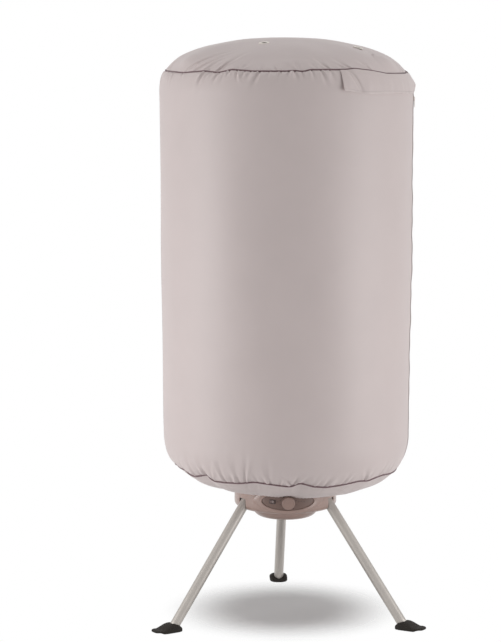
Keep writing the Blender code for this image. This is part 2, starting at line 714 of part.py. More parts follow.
def build_shells(parent):
    """Upper and lower housing shells, lid grille and intake grille."""
    upper = turned("base_upper_shell", drum_outline(), "shell", parent, steps=DRUM_STEPS)
    lower = turned("base_lower_shell", bowl_outline(), "shell", parent, steps=DRUM_STEPS)
    low = DRUM_TOP + CLEARANCE
    high = low + LID_THICKNESS
    outline = [(0, high), (DRUM_RADIUS, high), (DRUM_RADIUS, low), (0, low)]
    lid = turned("outlet_grille", outline, "dark", parent, steps=FINE_STEPS)
    boolean(lid, slot_cutter("lid_slots", LID_SLOTS, LID_SLOT_INNER, LID_SLOT_OUTER, LID_SLOT_WIDTH,
                             low - CUT_OVERRUN, high + CUT_OVERRUN, parent))
    edge = INTAKE_RADIUS - 2 * CLEARANCE
    high = BOWL_BOTTOM + DRUM_WALL
    outline = [(0, high), (edge, high), (edge, BOWL_BOTTOM), (0, BOWL_BOTTOM)]
    grille = turned("intake_grille", outline, "dark", parent, steps=FINE_STEPS)
    boolean(grille, slot_cutter("intake_slots", INTAKE_SLOTS, INTAKE_SLOT_INNER, INTAKE_SLOT_OUTER,
                                INTAKE_SLOT_WIDTH, BOWL_BOTTOM - CUT_OVERRUN, high + CUT_OVERRUN, parent))
    return upper, lower


def oval(half_width, half_height):
    """Oval outline centred on the controls."""
    turns = [2 * pi * k / OVAL_STEPS for k in range(OVAL_STEPS)]
    return [(half_width * cos(a), half_height * sin(a)) for a in turns]


def build_controls(upper, parent):
    """Oval bezel and panel on the drum's front, with the timer knob and the rocker switch."""
    face = DRUM_RADIUS + CLEARANCE
    low = CONTROL_HEIGHT - BEZEL_HALF_HEIGHT - CUT_OVERRUN
    high = CONTROL_HEIGHT + BEZEL_HALF_HEIGHT + CUT_OVERRUN
    middle = (0, -(CONTROL_REACH_BACK + DRUM_RADIUS) / 2 - CUT_OVERRUN, CONTROL_HEIGHT)
    reach = (DRUM_RADIUS - CONTROL_REACH_BACK) / 2 + 2 * CUT_OVERRUN
    outer = face + BEZEL_PROUD
    outline = [(outer, high), (outer, low), (face, low), (face, high)]
    bezel = turned("control_bezel", outline, "shell", parent, steps=DRUM_STEPS)
    rings = [oval(BEZEL_HALF_WIDTH, BEZEL_HALF_HEIGHT), oval(PANEL_HALF_WIDTH, PANEL_HALF_HEIGHT)]
    boolean(bezel, plate("bezel_form", rings, reach, None, parent, middle, upright=True), "INTERSECT")
    outer = face + PANEL_PROUD
    outline = [(outer, high), (outer, low), (face, low), (face, high)]
    panel = turned("control_panel", outline, "panel", parent, steps=DRUM_STEPS)
    ring = [oval(PANEL_HALF_WIDTH - CLEARANCE, PANEL_HALF_HEIGHT - CLEARANCE)]
    boolean(panel, plate("panel_form", ring, reach, None, parent, middle, upright=True), "INTERSECT")
    build_knob(upper, panel, outer, parent)
    build_switch(upper, panel, outer, parent)


def build_knob(upper, panel, face, parent):
    """Timer knob on its stem, and the clockwork timer behind the panel."""
    back = face + CLEARANCE
    front = back + KNOB_DEPTH
    stem_end = back - KNOB_STEM_DEPTH
    outline = [(0, front), (KNOB_RADIUS - KNOB_CHAMFER, front), (KNOB_RADIUS, front - KNOB_CHAMFER),
               (KNOB_RADIUS, back), (KNOB_STEM_RADIUS, back), (KNOB_STEM_RADIUS, stem_end), (0, stem_end)]
    forward = (pi / 2, 0, 0)
    turned("timer_knob", outline, "knob", parent, (0, 0, KNOB_HEIGHT), forward, steps=FINE_STEPS)
    bore = KNOB_STEM_RADIUS + CLEARANCE
    hole = cylinder("stem_hole", bore, stem_end - CLEARANCE, front, None, parent, (0, 0, KNOB_HEIGHT),
                    forward)
    inside = DRUM_RADIUS - DRUM_WALL
    timer_face = sqrt(inside ** 2 - TIMER_HALF_WIDTH ** 2) * cos(pi / DRUM_STEPS) - CLEARANCE
    low = (-TIMER_HALF_WIDTH, -timer_face, KNOB_HEIGHT - TIMER_HALF_HEIGHT)
    high = (TIMER_HALF_WIDTH, TIMER_DEPTH - timer_face, KNOB_HEIGHT + TIMER_HALF_HEIGHT)
    timer = box("timer_unit", low, high, "dark", parent)
    for item in (upper, panel, timer):
        boolean(item, hole)


def build_switch(upper, panel, face, parent):
    """Rocker switch: a frame through the panel with a tilting rocker in its pocket."""
    side = station("switch_station", SWITCH_AZIMUTH, parent)
    front = face + SWITCH_PROUD
    low = (front - SWITCH_DEPTH, -SWITCH_HALF_WIDTH, SWITCH_HEIGHT - SWITCH_HALF_HEIGHT)
    high = (front, SWITCH_HALF_WIDTH, SWITCH_HEIGHT + SWITCH_HALF_HEIGHT)
    frame = box("switch_frame", low, high, "dark", side)
    wide = SWITCH_HALF_WIDTH - SWITCH_WALL
    tall = SWITCH_HALF_HEIGHT - SWITCH_WALL
    low = (front - ROCKER_POCKET, -wide, SWITCH_HEIGHT - tall)
    high = (front + CUT_OVERRUN, wide, SWITCH_HEIGHT + tall)
    boolean(frame, box("rocker_pocket", low, high, None, side))
    wide = SWITCH_HALF_WIDTH + CLEARANCE
    tall = SWITCH_HALF_HEIGHT + CLEARANCE
    low = (front - SWITCH_DEPTH - CUT_OVERRUN, -wide, SWITCH_HEIGHT - tall)
    hole = box("switch_hole", low, (front + CUT_OVERRUN, wide, SWITCH_HEIGHT + tall), None, side)
    boolean(upper, hole)
    boolean(panel, hole)
    half = SWITCH_HALF_WIDTH - SWITCH_WALL - 2 * CLEARANCE
    nose = ROCKER_PIVOT_DEPTH + SWITCH_PROUD
    half *= cos(radians(ROCKER_TILT))
    outline = [(-ROCKER_TAIL, -half), (-ROCKER_TAIL, half), (nose, half), (nose - SWITCH_PROUD, 0),
               (nose, -half)]
    pivot = (front - ROCKER_PIVOT_DEPTH, 0, SWITCH_HEIGHT)
    rise = SWITCH_HALF_HEIGHT - SWITCH_WALL - CLEARANCE
    plate("power_rocker", [outline], rise, "rocker", side, pivot, (0, 0, radians(-ROCKER_TILT)))


def build_inside(upper, parent):
    """Motor on its spider, fan, heater in its frame, thermostat and cord gland."""
    low = DRUM_UNDERSIDE + BOWL_RIM_RISE + CLEARANCE
    reach = DRUM_RADIUS - DRUM_CORNER - 2 * CLEARANCE
    bend = SPIDER_ARM_HALF_WIDTH / tan(pi / 3)
    outline = []
    for index in range(3):
        turn = Matrix.Rotation(radians(index * 120 - 90), 2)
        for x, y in ((SPIDER_HUB_RADIUS, -SPIDER_ARM_HALF_WIDTH), (reach - bend, -SPIDER_ARM_HALF_WIDTH),
                     (reach - bend, SPIDER_ARM_HALF_WIDTH), (SPIDER_HUB_RADIUS, SPIDER_ARM_HALF_WIDTH)):
            outline.append(tuple(turn @ Vector((x, y))))
        outline.append(tuple(Matrix.Rotation(radians(index * 120 - 30), 2) @ Vector((SPIDER_HUB_RADIUS, 0))))
    middle = (0, 0, low + SPIDER_THICKNESS / 2)
    plate("motor_bracket", [outline], SPIDER_THICKNESS / 2, "steel", parent, middle)
    low += SPIDER_THICKNESS + CLEARANCE
    high = low + MOTOR_HEIGHT
    tip = high + SHAFT_LENGTH
    outline = [(0, tip), (SHAFT_RADIUS, tip), (SHAFT_RADIUS, high), (MOTOR_RADIUS, high),
               (MOTOR_RADIUS, low), (0, low)]
    turned("fan_motor", outline, "steel", parent)
    build_fan(high + FAN_LIFT, tip, parent)
    build_heater(parent)
    side = station("gland_station", GLAND_AZIMUTH, parent)
    outside = DRUM_RADIUS + CLEARANCE
    inside = sqrt((DRUM_RADIUS - DRUM_WALL) ** 2 - GLAND_FLANGE ** 2) - CLEARANCE
    outline = [(GLAND_FLANGE, outside + GLAND_PLATE), (GLAND_FLANGE, outside), (GLAND_NECK, outside),
               (GLAND_NECK, inside), (GLAND_FLANGE, inside), (GLAND_FLANGE, inside - GLAND_PLATE),
               (GLAND_BORE, inside - GLAND_PLATE), (GLAND_BORE, outside + GLAND_PLATE)]
    turned("cord_gland", outline, "dark", side, (0, 0, GLAND_HEIGHT), (0, pi / 2, 0))
    hole = cylinder("gland_hole", GLAND_NECK + CLEARANCE, inside - CUT_OVERRUN, outside + CUT_OVERRUN,
                    None, side, (0, 0, GLAND_HEIGHT), (0, pi / 2, 0))
    boolean(upper, hole)


def build_fan(low, shaft_tip, parent):
    """Axial fan: a hub on the motor's shaft and pitched blades."""
    roof = max(low + FAN_HUB_HEIGHT, shaft_tip + CLEARANCE + FAN_HUB_ROOF)
    bore = SHAFT_RADIUS + CLEARANCE
    outline = [(0, roof), (FAN_HUB_RADIUS, roof), (FAN_HUB_RADIUS, low), (bore, low),
               (bore, shaft_tip + CLEARANCE), (0, shaft_tip + CLEARANCE)]
    fan = turned("fan_impeller", outline, "dark", parent)
    builder = bmesh.new()
    inner = (FAN_HUB_RADIUS + bore) / 2
    middle = Matrix.Translation(((inner + FAN_RADIUS) / 2, 0, (low + roof) / 2))
    size = Matrix.Diagonal((FAN_RADIUS - inner, BLADE_CHORD, BLADE_THICKNESS, 1))
    for index in range(FAN_BLADES):
        blank = bmesh.ops.create_cube(builder, size=1)["verts"]
        spin = Matrix.Rotation(2 * pi * index / FAN_BLADES, 4, "Z")
        pitch = Matrix.Rotation(radians(BLADE_PITCH), 4, "X")
        bmesh.ops.transform(builder, matrix=spin @ middle @ pitch @ size, verts=blank)
    boolean(fan, add_object("fan_blades_form", mesh_from(builder, "fan_blades_form"), None, parent), "UNION")


def rectangle(half_x, half_y):
    """Rectangle outline about the origin."""
    return [(-half_x, -half_y), (half_x, -half_y), (half_x, half_y), (-half_x, half_y)]


def build_heater(parent):
    """Heater frame under the lid, the finned heating element in it and its thermostat."""
    high = DRUM_TOP
    middle = high - HEATER_HEIGHT / 2
    inner_x = HEATER_HALF_LENGTH - HEATER_WALL
    inner_y = HEATER_HALF_WIDTH - HEATER_WALL
    rings = [rectangle(HEATER_HALF_LENGTH, HEATER_HALF_WIDTH), rectangle(inner_x, inner_y)]
    plate("heater_frame", rings, HEATER_HEIGHT / 2, "ceramic", parent, (0, 0, middle))
    half_x = inner_x - CLEARANCE
    half_y = inner_y - CLEARANCE
    low = (-half_x, -half_y, middle - ELEMENT_HEIGHT / 2)
    element = box("heater_element", low, (half_x, half_y, middle + ELEMENT_HEIGHT / 2), "steel", parent)
    builder = bmesh.new()
    for index in range(FIN_COUNT):
        blank = bmesh.ops.create_cube(builder, size=1)["verts"]
        offset = 2 * half_y * ((index + 0.5) / FIN_COUNT - 0.5)
        place = Matrix.Translation((0, offset, middle))
        size = Matrix.Diagonal((2 * (half_x - HEATER_WALL / 2), FIN_GAP, HEATER_HEIGHT, 1))
        bmesh.ops.transform(builder, matrix=place @ size, verts=blank)
    boolean(element, add_object("fin_gaps", mesh_from(builder, "fin_gaps"), None, parent))
    start = HEATER_HALF_WIDTH + CLEARANCE
    cylinder("thermostat", THERMOSTAT_RADIUS, start, start + THERMOSTAT_DEPTH, "ceramic", parent,
             (0, 0, middle), (-pi / 2, 0, 0), SMALL_STEPS)


def bracket_outline():
    """Side outline of a leg bracket, in (radius, height)."""
    swing = hypot(LEG_TUBE_RADIUS, LEG_TUBE_HEAD)
    back = LEG_HINGE_RADIUS - swing - LEG_SWING_PLAY - BRACKET_PLATE
    front = LEG_HINGE_RADIUS + LEG_TUBE_RADIUS
    top = LEG_HINGE_HEIGHT + swing + LEG_SWING_PLAY + BRACKET_PLATE
    low = DRUM_UNDERSIDE + DRUM_WALL
    deep = DRUM_UNDERSIDE - BRACKET_FOOT_DROP
    return [(back, deep), (back + DRUM_CORNER, deep), (front - DRUM_CORNER / 2, low - DRUM_WALL),
            (front, low), (front, top), (back, top)]


def build_leg(name, azimuth, shells, parent):
    """One folding leg: bracket in the drum's slot, hinge pin, tube and rubber foot."""
    side = station(f"leg_station_{name}", azimuth, parent)
    channel = LEG_TUBE_RADIUS + LEG_SIDE_PLAY
    cheek = channel + BRACKET_PLATE
    outline = bracket_outline()
    back = outline[0][0]
    top = outline[-1][1]
    bracket = plate(f"leg_bracket_{name}", [outline], cheek, "dark", side, upright=True)
    low = (back + BRACKET_PLATE, -channel, BOWL_BOTTOM - CUT_OVERRUN)
    high = (DRUM_RADIUS + CUT_OVERRUN, channel, top - BRACKET_PLATE)
    boolean(bracket, box(f"leg_channel_{name}", low, high, None, side))
    hinge = (LEG_HINGE_RADIUS, 0, LEG_HINGE_HEIGHT)
    bore = PIN_RADIUS + CLEARANCE
    across = (pi / 2, 0, 0)
    pin_hole = cylinder(f"pin_hole_{name}", bore, -2 * cheek, 2 * cheek, None, side, hinge, across,
                        SMALL_STEPS)
    boolean(bracket, pin_hole)
    cylinder(f"leg_pin_{name}", PIN_RADIUS, -cheek, cheek, "steel", side, hinge, across, SMALL_STEPS)
    low = (back - CLEARANCE, -cheek - CLEARANCE, BOWL_BOTTOM - CUT_OVERRUN)
    slot = box(f"leg_slot_{name}", low, (DRUM_RADIUS + CUT_OVERRUN, cheek + CLEARANCE, SLOT_TOP), None, side)
    for shell in shells:
        boolean(shell, slot)
    joint = guide(f"leg_hinge_{name}", side, hinge, (0, radians(-LEG_SPLAY), 0))
    length = (LEG_HINGE_HEIGHT - LEG_END_HEIGHT) / cos(radians(LEG_SPLAY))
    inner = LEG_TUBE_RADIUS - LEG_TUBE_WALL
    outline = [(LEG_TUBE_RADIUS, LEG_TUBE_HEAD), (LEG_TUBE_RADIUS, -length), (inner, -length),
               (inner, LEG_TUBE_HEAD)]
    tube = turned(f"leg_tube_{name}", outline, "aluminium", joint)
    boolean(tube, pin_hole)
    build_foot(name, side, joint, length)


def build_foot(name, side, joint, tube_length):
    """Rubber foot with a domed body and a thin upturned brim, bored for the tube."""
    long = FOOT_TIP_REACH - FOOT_HEEL_REACH
    outline = [(FOOT_HEEL_REACH + a * long, b * FOOT_HEIGHT) for a, b in FOOT_SIDE_SHARES]
    foot = plate(f"foot_{name}", [outline], FOOT_HALF_WIDTH, "rubber", side, upright=True)
    half = [(FOOT_HEEL_REACH + a * long, b * FOOT_HALF_WIDTH) for a, b in FOOT_PLAN_SHARES]
    half[0] = (half[0][0] - CUT_OVERRUN, half[0][1])
    half[-1] = (half[-1][0] + WELD, half[-1][1])
    plan = [(x, -y) for x, y in half] + half[::-1]
    tall = (0, 0, FOOT_HEIGHT / 2)
    boolean(foot, plate(f"foot_plan_{name}", [plan], FOOT_HEIGHT, None, side, tall), "INTERSECT")
    bore = LEG_TUBE_RADIUS + CLEARANCE
    end = -tube_length - CLEARANCE
    boolean(foot, cylinder(f"foot_bore_{name}", bore, end, end + 2 * long, None, joint))


def build_pole(parent):
    """Socket on the lid, three pole tubes and the two couplers between them."""
    seat = DRUM_TOP + LID_THICKNESS + 2 * CLEARANCE
    floor = seat + SOCKET_FLANGE
    bore = POLE_RADIUS + CLEARANCE
    outer = bore + SOCKET_WALL
    top = floor + SOCKET_DEPTH
    outline = [(0, floor - SOCKET_SEAT), (bore, floor - SOCKET_SEAT), (bore, top), (outer, top),
               (outer, floor), (SOCKET_FLANGE_RADIUS, floor), (SOCKET_FLANGE_RADIUS, seat), (0, seat)]
    turned("pole_socket", outline, "dark", parent)
    start = floor - SOCKET_SEAT + CLEARANCE
    share = (POLE_TOP - start) / len(POLE_PIECES)
    inner = POLE_RADIUS - POLE_WALL
    for index, name in enumerate(POLE_PIECES):
        low = start + index * share + (CLEARANCE if index else 0)
        high = start + (index + 1) * share - (CLEARANCE if index < len(POLE_PIECES) - 1 else 0)
        outline = [(POLE_RADIUS, high), (POLE_RADIUS, low), (inner, low), (inner, high)]
        turned(name, outline, "aluminium", parent)
        if index:
            sleeve = bore + COUPLER_WALL
            low -= CLEARANCE + COUPLER_LENGTH / 2
            high = low + COUPLER_LENGTH
            outline = [(sleeve, high), (sleeve, low), (bore, low), (bore, high)]
            turned(f"pole_coupler_{index}", outline, "dark", parent)


def arm_outline():
    """Side outline of a hanger arm about its hinge: eye, arched bar, hanger notches and tip."""
    start = Vector((0, ARM_DEPTH / 2 - CLEARANCE))
    reach = ARM_REACH - ARM_HINGE_RADIUS
    slope = crown_slope(ARM_REACH)
    lift = edge_gap() + CLOTH
    outside = SEAM_TOP_HEIGHT + lift + crown_height(ARM_REACH) * (CROWN_HEIGHT - lift) / CROWN_HEIGHT
    under = outside - (CLOTH + ARM_CROWN_GAP) * sqrt(1 + slope ** 2)
    end = Vector((reach, under - ARM_HINGE_HEIGHT))

    def top(share):
        return start.lerp(end, share) + Vector((0, 4 * ARM_ARCH * share * (1 - share)))

    upper = []
    notch = NOTCH_WIDTH / reach / 2
    for index in range(HANGER_NOTCHES):
        centre = (index + 1) / (HANGER_NOTCHES + NOTCH_END_SHARE)
        upper += [top(centre - notch), top(centre - notch / 2) - Vector((0, NOTCH_DEPTH)),
                  top(centre + notch / 2) - Vector((0, NOTCH_DEPTH)), top(centre + notch)]
    lower = [top(k / 6) - Vector((0, ARM_DEPTH - CLEARANCE)) for k in range(5, 0, -1)]
    tip = [end, end - Vector((0, ARM_DEPTH / 2)), end - Vector((ARM_DEPTH / 2, ARM_DEPTH))]
    eye = [Vector(p) for p in arc((0, 0), ARM_EYE_RADIUS - CLEARANCE, 270, 90, 6)]
    return [tuple(p) for p in [start] + upper + tip + lower + eye[:-1]]


def build_hub(parent):
    """Hub on the pole's top, hinge ring through the arms' eyes, cap and six arms."""
    floor = POLE_TOP + CLEARANCE
    bore = POLE_RADIUS + CLEARANCE
    sleeve = bore + HUB_SLEEVE_WALL
    low = ARM_HINGE_HEIGHT - ARM_DEPTH / 2
    high = ARM_HINGE_HEIGHT + ARM_DEPTH / 2
    foot = floor - HUB_SLEEVE_DEPTH
    outline = [(0, high), (HUB_RADIUS, high), (HUB_RADIUS, low), (sleeve, low), (sleeve, foot), (bore, foot),
               (bore, floor), (0, floor)]
    hub = turned("arm_hub", outline, "dark", parent, steps=FINE_STEPS)
    width = ARM_THICKNESS + 2 * CLEARANCE
    boolean(hub, slot_cutter("arm_slots", ARM_COUNT, HUB_CORE_RADIUS, HUB_RADIUS + CUT_OVERRUN, width,
                             low - CUT_OVERRUN, high + CUT_OVERRUN, parent))
    groove = RING_WIRE_RADIUS + RING_PLAY
    outer = ARM_HINGE_RADIUS + groove
    inner = ARM_HINGE_RADIUS - groove
    bottom = ARM_HINGE_HEIGHT - groove
    outline = [(outer, high + CUT_OVERRUN), (outer, bottom), (inner, bottom), (inner, high + CUT_OVERRUN)]
    boolean(hub, turned("ring_groove", outline, None, parent, steps=FINE_STEPS))
    ring = [around(ARM_HINGE_RADIUS, a, ARM_HINGE_HEIGHT) for a in steps_between(0, 360, FINE_STEPS)[:-1]]
    closed_wire("arm_hinge_ring", ring, RING_WIRE_RADIUS, "steel", parent)
    seat = high + CLEARANCE
    roof = seat + HUB_CAP_HEIGHT
    outline = [(0, roof), (HUB_RADIUS - HUB_CAP_CHAMFER, roof), (HUB_RADIUS, roof - HUB_CAP_CHAMFER),
               (HUB_RADIUS, seat), (0, seat)]
    turned("hub_cap", outline, "dark", parent, steps=FINE_STEPS)
    outline = arm_outline()
    eye = [tuple(p) for p in arc((0, 0), groove, 0, 360, 10)[:-1]]
    for index in range(ARM_COUNT):
        side = station(f"arm_station_{index + 1}", index * 360 / ARM_COUNT, parent)
        hinge = (ARM_HINGE_RADIUS, 0, ARM_HINGE_HEIGHT)
        plate(f"hanger_arm_{index + 1}", [outline, eye], ARM_THICKNESS / 2, "arm", side, hinge, upright=True)


def main():
    """Build the whole dryer about its axis."""
    axis = guide("dryer_axis", place=(0, AXIS_Y, 0))
    upper, lower = build_shells(axis)
    build_controls(upper, axis)
    build_inside(upper, axis)
    for name, azimuth in LEG_AZIMUTHS:
        build_leg(name, azimuth, (upper, lower), axis)
    build_pole(axis)
    build_hub(axis)
    build_cover(axis)


main()
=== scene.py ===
"""Portable clothes dryer: a nylon cover over a heater base on three folding legs."""

import logging
import math
from dataclasses import dataclass, field
from enum import Enum
from typing import Any, Sequence

import bmesh
import bpy
import numpy as np
from mathutils import Euler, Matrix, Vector


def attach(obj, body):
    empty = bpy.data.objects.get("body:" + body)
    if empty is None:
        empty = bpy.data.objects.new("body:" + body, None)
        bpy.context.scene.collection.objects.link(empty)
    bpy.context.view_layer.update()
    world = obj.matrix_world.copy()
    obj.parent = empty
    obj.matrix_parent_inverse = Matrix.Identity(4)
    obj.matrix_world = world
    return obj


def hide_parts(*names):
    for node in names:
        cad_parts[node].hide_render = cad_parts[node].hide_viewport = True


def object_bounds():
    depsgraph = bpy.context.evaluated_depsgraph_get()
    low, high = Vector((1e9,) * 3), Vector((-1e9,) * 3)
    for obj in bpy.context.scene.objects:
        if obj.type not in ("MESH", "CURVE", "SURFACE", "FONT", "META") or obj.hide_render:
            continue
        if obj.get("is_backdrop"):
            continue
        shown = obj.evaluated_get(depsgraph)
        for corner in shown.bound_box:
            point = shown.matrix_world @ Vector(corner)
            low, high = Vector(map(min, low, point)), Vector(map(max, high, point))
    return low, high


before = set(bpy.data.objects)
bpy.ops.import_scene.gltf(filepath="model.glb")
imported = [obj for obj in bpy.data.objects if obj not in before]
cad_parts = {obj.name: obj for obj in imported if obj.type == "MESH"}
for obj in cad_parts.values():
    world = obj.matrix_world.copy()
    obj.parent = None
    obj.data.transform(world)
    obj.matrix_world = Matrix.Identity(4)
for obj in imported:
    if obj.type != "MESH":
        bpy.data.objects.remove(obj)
CAD_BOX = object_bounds()
log = logging.getLogger("clothes_dryer")

Pair = tuple[float, float]
Triple = tuple[float, float, float]
Four = tuple[float, float, float, float]
Colour = tuple[int, int, int]

IMAGE_WIDTH = 501
IMAGE_HEIGHT = 642

# the dryer's box is centred between the cover's front and the tip of the rear foot
COVER_RADIUS = 0.300
REAR_TIP = 0.3713
AXIS_Y = (COVER_RADIUS - REAR_TIP) / 2
CLOTH_GAP = 0.0012
UP = (0.0, 0.0, 1.0)
ASIDE = (0.31, 0.95, 0.05)
OPEN = (False, False)
LEGS = (("left", -60.0), ("right", 60.0), ("rear", 180.0))


class Signal:
    """A shader socket that takes part in Python expressions."""

    def __init__(self, tree: "Tree", socket: bpy.types.NodeSocket) -> None:
        """Keep the tree that the socket belongs to, and the socket."""
        self.tree = tree
        self.socket = socket

    def _join(self, operation: str, left: Any, right: Any) -> "Signal":
        """Add the Math or Vector Math node of one expression.

        Args:
            operation: the node's operation.
            left: the first value or signal.
            right: the second value or signal.

        Returns:
            The signal that the node gives.
        """
        plain = self.socket.type == "VALUE"
        kind = "ShaderNodeMath" if plain else "ShaderNodeVectorMath"
        return self.tree.node(kind, {"operation": operation}, {0: left, 1: right})

    def __add__(self, other: Any) -> "Signal":
        """Sum of the signal and a value or signal."""
        return self._join("ADD", self, other)

    def __radd__(self, other: Any) -> "Signal":
        """Sum, with the value on the left."""
        return self._join("ADD", other, self)

    def __sub__(self, other: Any) -> "Signal":
        """Difference of the signal and a value or signal."""
        return self._join("SUBTRACT", self, other)

    def __rsub__(self, other: Any) -> "Signal":
        """Difference, with the value on the left."""
        return self._join("SUBTRACT", other, self)

    def __mul__(self, other: Any) -> "Signal":
        """Product of the signal and a value or signal."""
        return self._join("MULTIPLY", self, other)

    def __rmul__(self, other: Any) -> "Signal":
        """Product, with the value on the left."""
        return self._join("MULTIPLY", other, self)

    def most(self, other: Any) -> "Signal":
        """The larger of the signal and a value or signal."""
        return self._join("MAXIMUM", self, other)

    def wave(self) -> "Signal":
        """Absolute sine of the signal, a row of round threads."""
        return self.tree.node("ShaderNodeMath", {"operation": "SINE"}, {0: self}).size()

    def size(self) -> "Signal":
        """Absolute value of the signal."""
        return self.tree.node("ShaderNodeMath", {"operation": "ABSOLUTE"}, {0: self})

    def part(self, axis: int) -> "Signal":
        """One component of a vector signal: 0, 1 or 2."""
        return self.tree.node("ShaderNodeSeparateXYZ", {}, {0: self}, axis)


class Tree:
    """The shader nodes of a material or a world, none at first."""

    def __init__(self, owner: bpy.types.Material | bpy.types.World) -> None:
        """Clear the owner's nodes."""
        owner.use_nodes = True
        self.owner = owner
        self.nodes = owner.node_tree.nodes
        self.nodes.clear()

    @classmethod
    def of_material(cls, name: str) -> "Tree":
        """The tree of a new material."""
        return cls(bpy.data.materials.new(name))

    def add(self, kind: str, settings: dict[str, Any], sockets: dict[Any, Any]) -> bpy.types.Node:
        """Add any node.

        Args:
            kind: Blender's name for the node's type.
            settings: attributes, set first.
            sockets: values or signals of its inputs, by name or number.

        Returns:
            The node.
        """
        made = self.nodes.new(kind)
        for key, value in settings.items():
            setattr(made, key, value)
        for key, value in sockets.items():
            if isinstance(value, Signal):
                self.owner.node_tree.links.new(value.socket, made.inputs[key])
            else:
                made.inputs[key].default_value = value
        return made

    def node(self, kind: str, settings: dict[str, Any], sockets: dict[Any, Any],
             output: int | str = 0) -> Signal:
        """Add any node and take one of its outputs, by name or number."""
        return Signal(self, self.add(kind, settings, sockets).outputs[output])

    def place(self) -> Signal:
        """Object coordinates, in metres."""
        return self.node("ShaderNodeTexCoord", {}, {}, "Object")

    def cut(self) -> Signal:
        """UV coordinates, in metres along and across the cloth or the part."""
        return self.node("ShaderNodeTexCoord", {}, {}, "UV")

    def ray(self, kind: str) -> Signal:
        """1 for one kind of ray, such as "Is Camera Ray", else 0."""
        return self.node("ShaderNodeLightPath", {}, {}, kind)

    def noise(self, at: Signal, size: float, detail: float = 3.0) -> Signal:
        """Noise from 0 to 1 with features of a size in metres."""
        sockets = {"Vector": at, "Scale": 1 / size, "Detail": detail}
        return self.node("ShaderNodeTexNoise", {}, sockets)

    def blend(self, share: Any, low: Any, high: Any) -> Signal:
        """Colour between two colours, by a share from 0 to 1."""
        sockets = {0: share, 6: low, 7: high}
        return self.node("ShaderNodeMix", {"data_type": "RGBA", "clamp_factor": True}, sockets, 2)

    def relief(self, height: Signal, depth: float, strength: float = 1.0) -> Signal:
        """Normal from a height from 0 to 1, whose full step is a depth in metres."""
        sockets = {"Height": height, "Distance": depth, "Strength": strength}
        return self.node("ShaderNodeBump", {}, sockets)

    def surface(self, sockets: dict[str, Any]) -> bpy.types.Material:
        """Finish the material with a Principled shader of these sockets."""
        return self.end(self.node("ShaderNodeBsdfPrincipled", {}, sockets))

    def end(self, shader: Signal) -> bpy.types.Material:
        """Finish the material with any shader."""
        self.add("ShaderNodeOutputMaterial", {}, {"Surface": shader})
        return self.owner


def screen(colour: Colour, light: float = 1.0) -> Four:
    """Linear colour from 0 to 255 screen values, made lighter or darker by a factor."""
    linear = [((c / 255 + 0.055) / 1.055) ** 2.4 if c > 10 else c / 3295 for c in colour]
    return (linear[0] * light, linear[1] * light, linear[2] * light, 1.0)


@dataclass(frozen=True)
class Nylon:
    """Coated nylon taffeta: satin, tightly woven, a little uneven."""

    name: str = "cover_nylon"
    colour: Colour = (208, 195, 193)
    thread: float = 0.00055
    thread_height: float = 0.00004
    cloud: float = 0.09
    slub_scale: Triple = (60.0, 60.0, 900.0)
    shades: Pair = (0.965, 1.035)
    gap_shade: float = 0.62
    gap_share: float = 0.16
    roughness: float = 0.52

    def build(self) -> bpy.types.Material:
        """Make the material."""
        tree = Tree.of_material(self.name)
        cut = tree.cut()
        place = tree.place()
        warp = (cut.part(0) * (math.pi / self.thread)).wave()
        weft = (cut.part(1) * (math.pi / self.thread)).wave()
        weave = warp.most(weft)
        cloud = tree.noise(place, self.cloud, 2.0)
        slub = tree.noise(place * self.slub_scale, 1.0, 1.0)
        dark, light = (screen(self.colour, shade) for shade in self.shades)
        gap = screen(self.colour, self.gap_shade)
        colour = tree.blend((1 - weave) * self.gap_share, tree.blend(cloud, dark, light), gap)
        normal = tree.relief(weave * 0.7 + slub * 0.3, self.thread_height, 0.35)
        rough = self.roughness + cloud * 0.06 - weave * 0.05
        return tree.surface({"Base Color": colour, "Roughness": rough, "Normal": normal,
                             "Specular IOR Level": 0.5, "Sheen Weight": 0.05,
                             "Sheen Roughness": 0.4})


@dataclass(frozen=True)
class Binding:
    """Woven tape or bead with ribs across its length."""

    name: str
    colour: Colour
    rib: float
    roughness: float
    rib_height: float = 0.00012
    fuzz: float = 0.004
    shades: Pair = (0.72, 1.12)

    def build(self) -> bpy.types.Material:
        """Make the material."""
        tree = Tree.of_material(self.name)
        cut = tree.cut()
        across = cut.part(0) * (math.pi / self.rib) + cut.part(1) * (math.pi / self.rib)
        ribs = across.wave()
        fuzz = tree.noise(tree.place(), self.fuzz)
        dark, light = (screen(self.colour, shade) for shade in self.shades)
        # partly painted shade: the colour is darker in the grooves between ribs and lighter on
        # their crests, following the relief; the fuzz is random tone
        return tree.surface({"Base Color": tree.blend(ribs * 0.6 + fuzz * 0.4, dark, light),
                             "Roughness": self.roughness + fuzz * 0.1,
                             "Normal": tree.relief(ribs, self.rib_height, 0.7),
                             "Sheen Weight": 0.2})


@dataclass(frozen=True)
class Moulding:
    """Moulded plastic: fine grain and slight flow clouds."""

    name: str
    colour: Colour
    roughness: float
    coat: float = 0.0
    grain: float = 0.0007
    relief: float = 0.00002
    flow: float = 0.045
    shades: Pair = (0.93, 1.07)

    def build(self) -> bpy.types.Material:
        """Make the material."""
        tree = Tree.of_material(self.name)
        place = tree.place()
        flow = tree.noise(place, self.flow, 2.0)
        speck = tree.noise(place, self.grain, 2.0)
        dark, light = (screen(self.colour, shade) for shade in self.shades)
        rough = self.roughness + (speck - 0.5) * 0.10 + (flow - 0.5) * 0.06
        return tree.surface({"Base Color": tree.blend(flow * 0.7 + speck * 0.3, dark, light),
                             "Roughness": rough,
                             "Normal": tree.relief(speck, self.relief, 0.5),
                             "Coat Weight": self.coat, "Coat Roughness": 0.12})


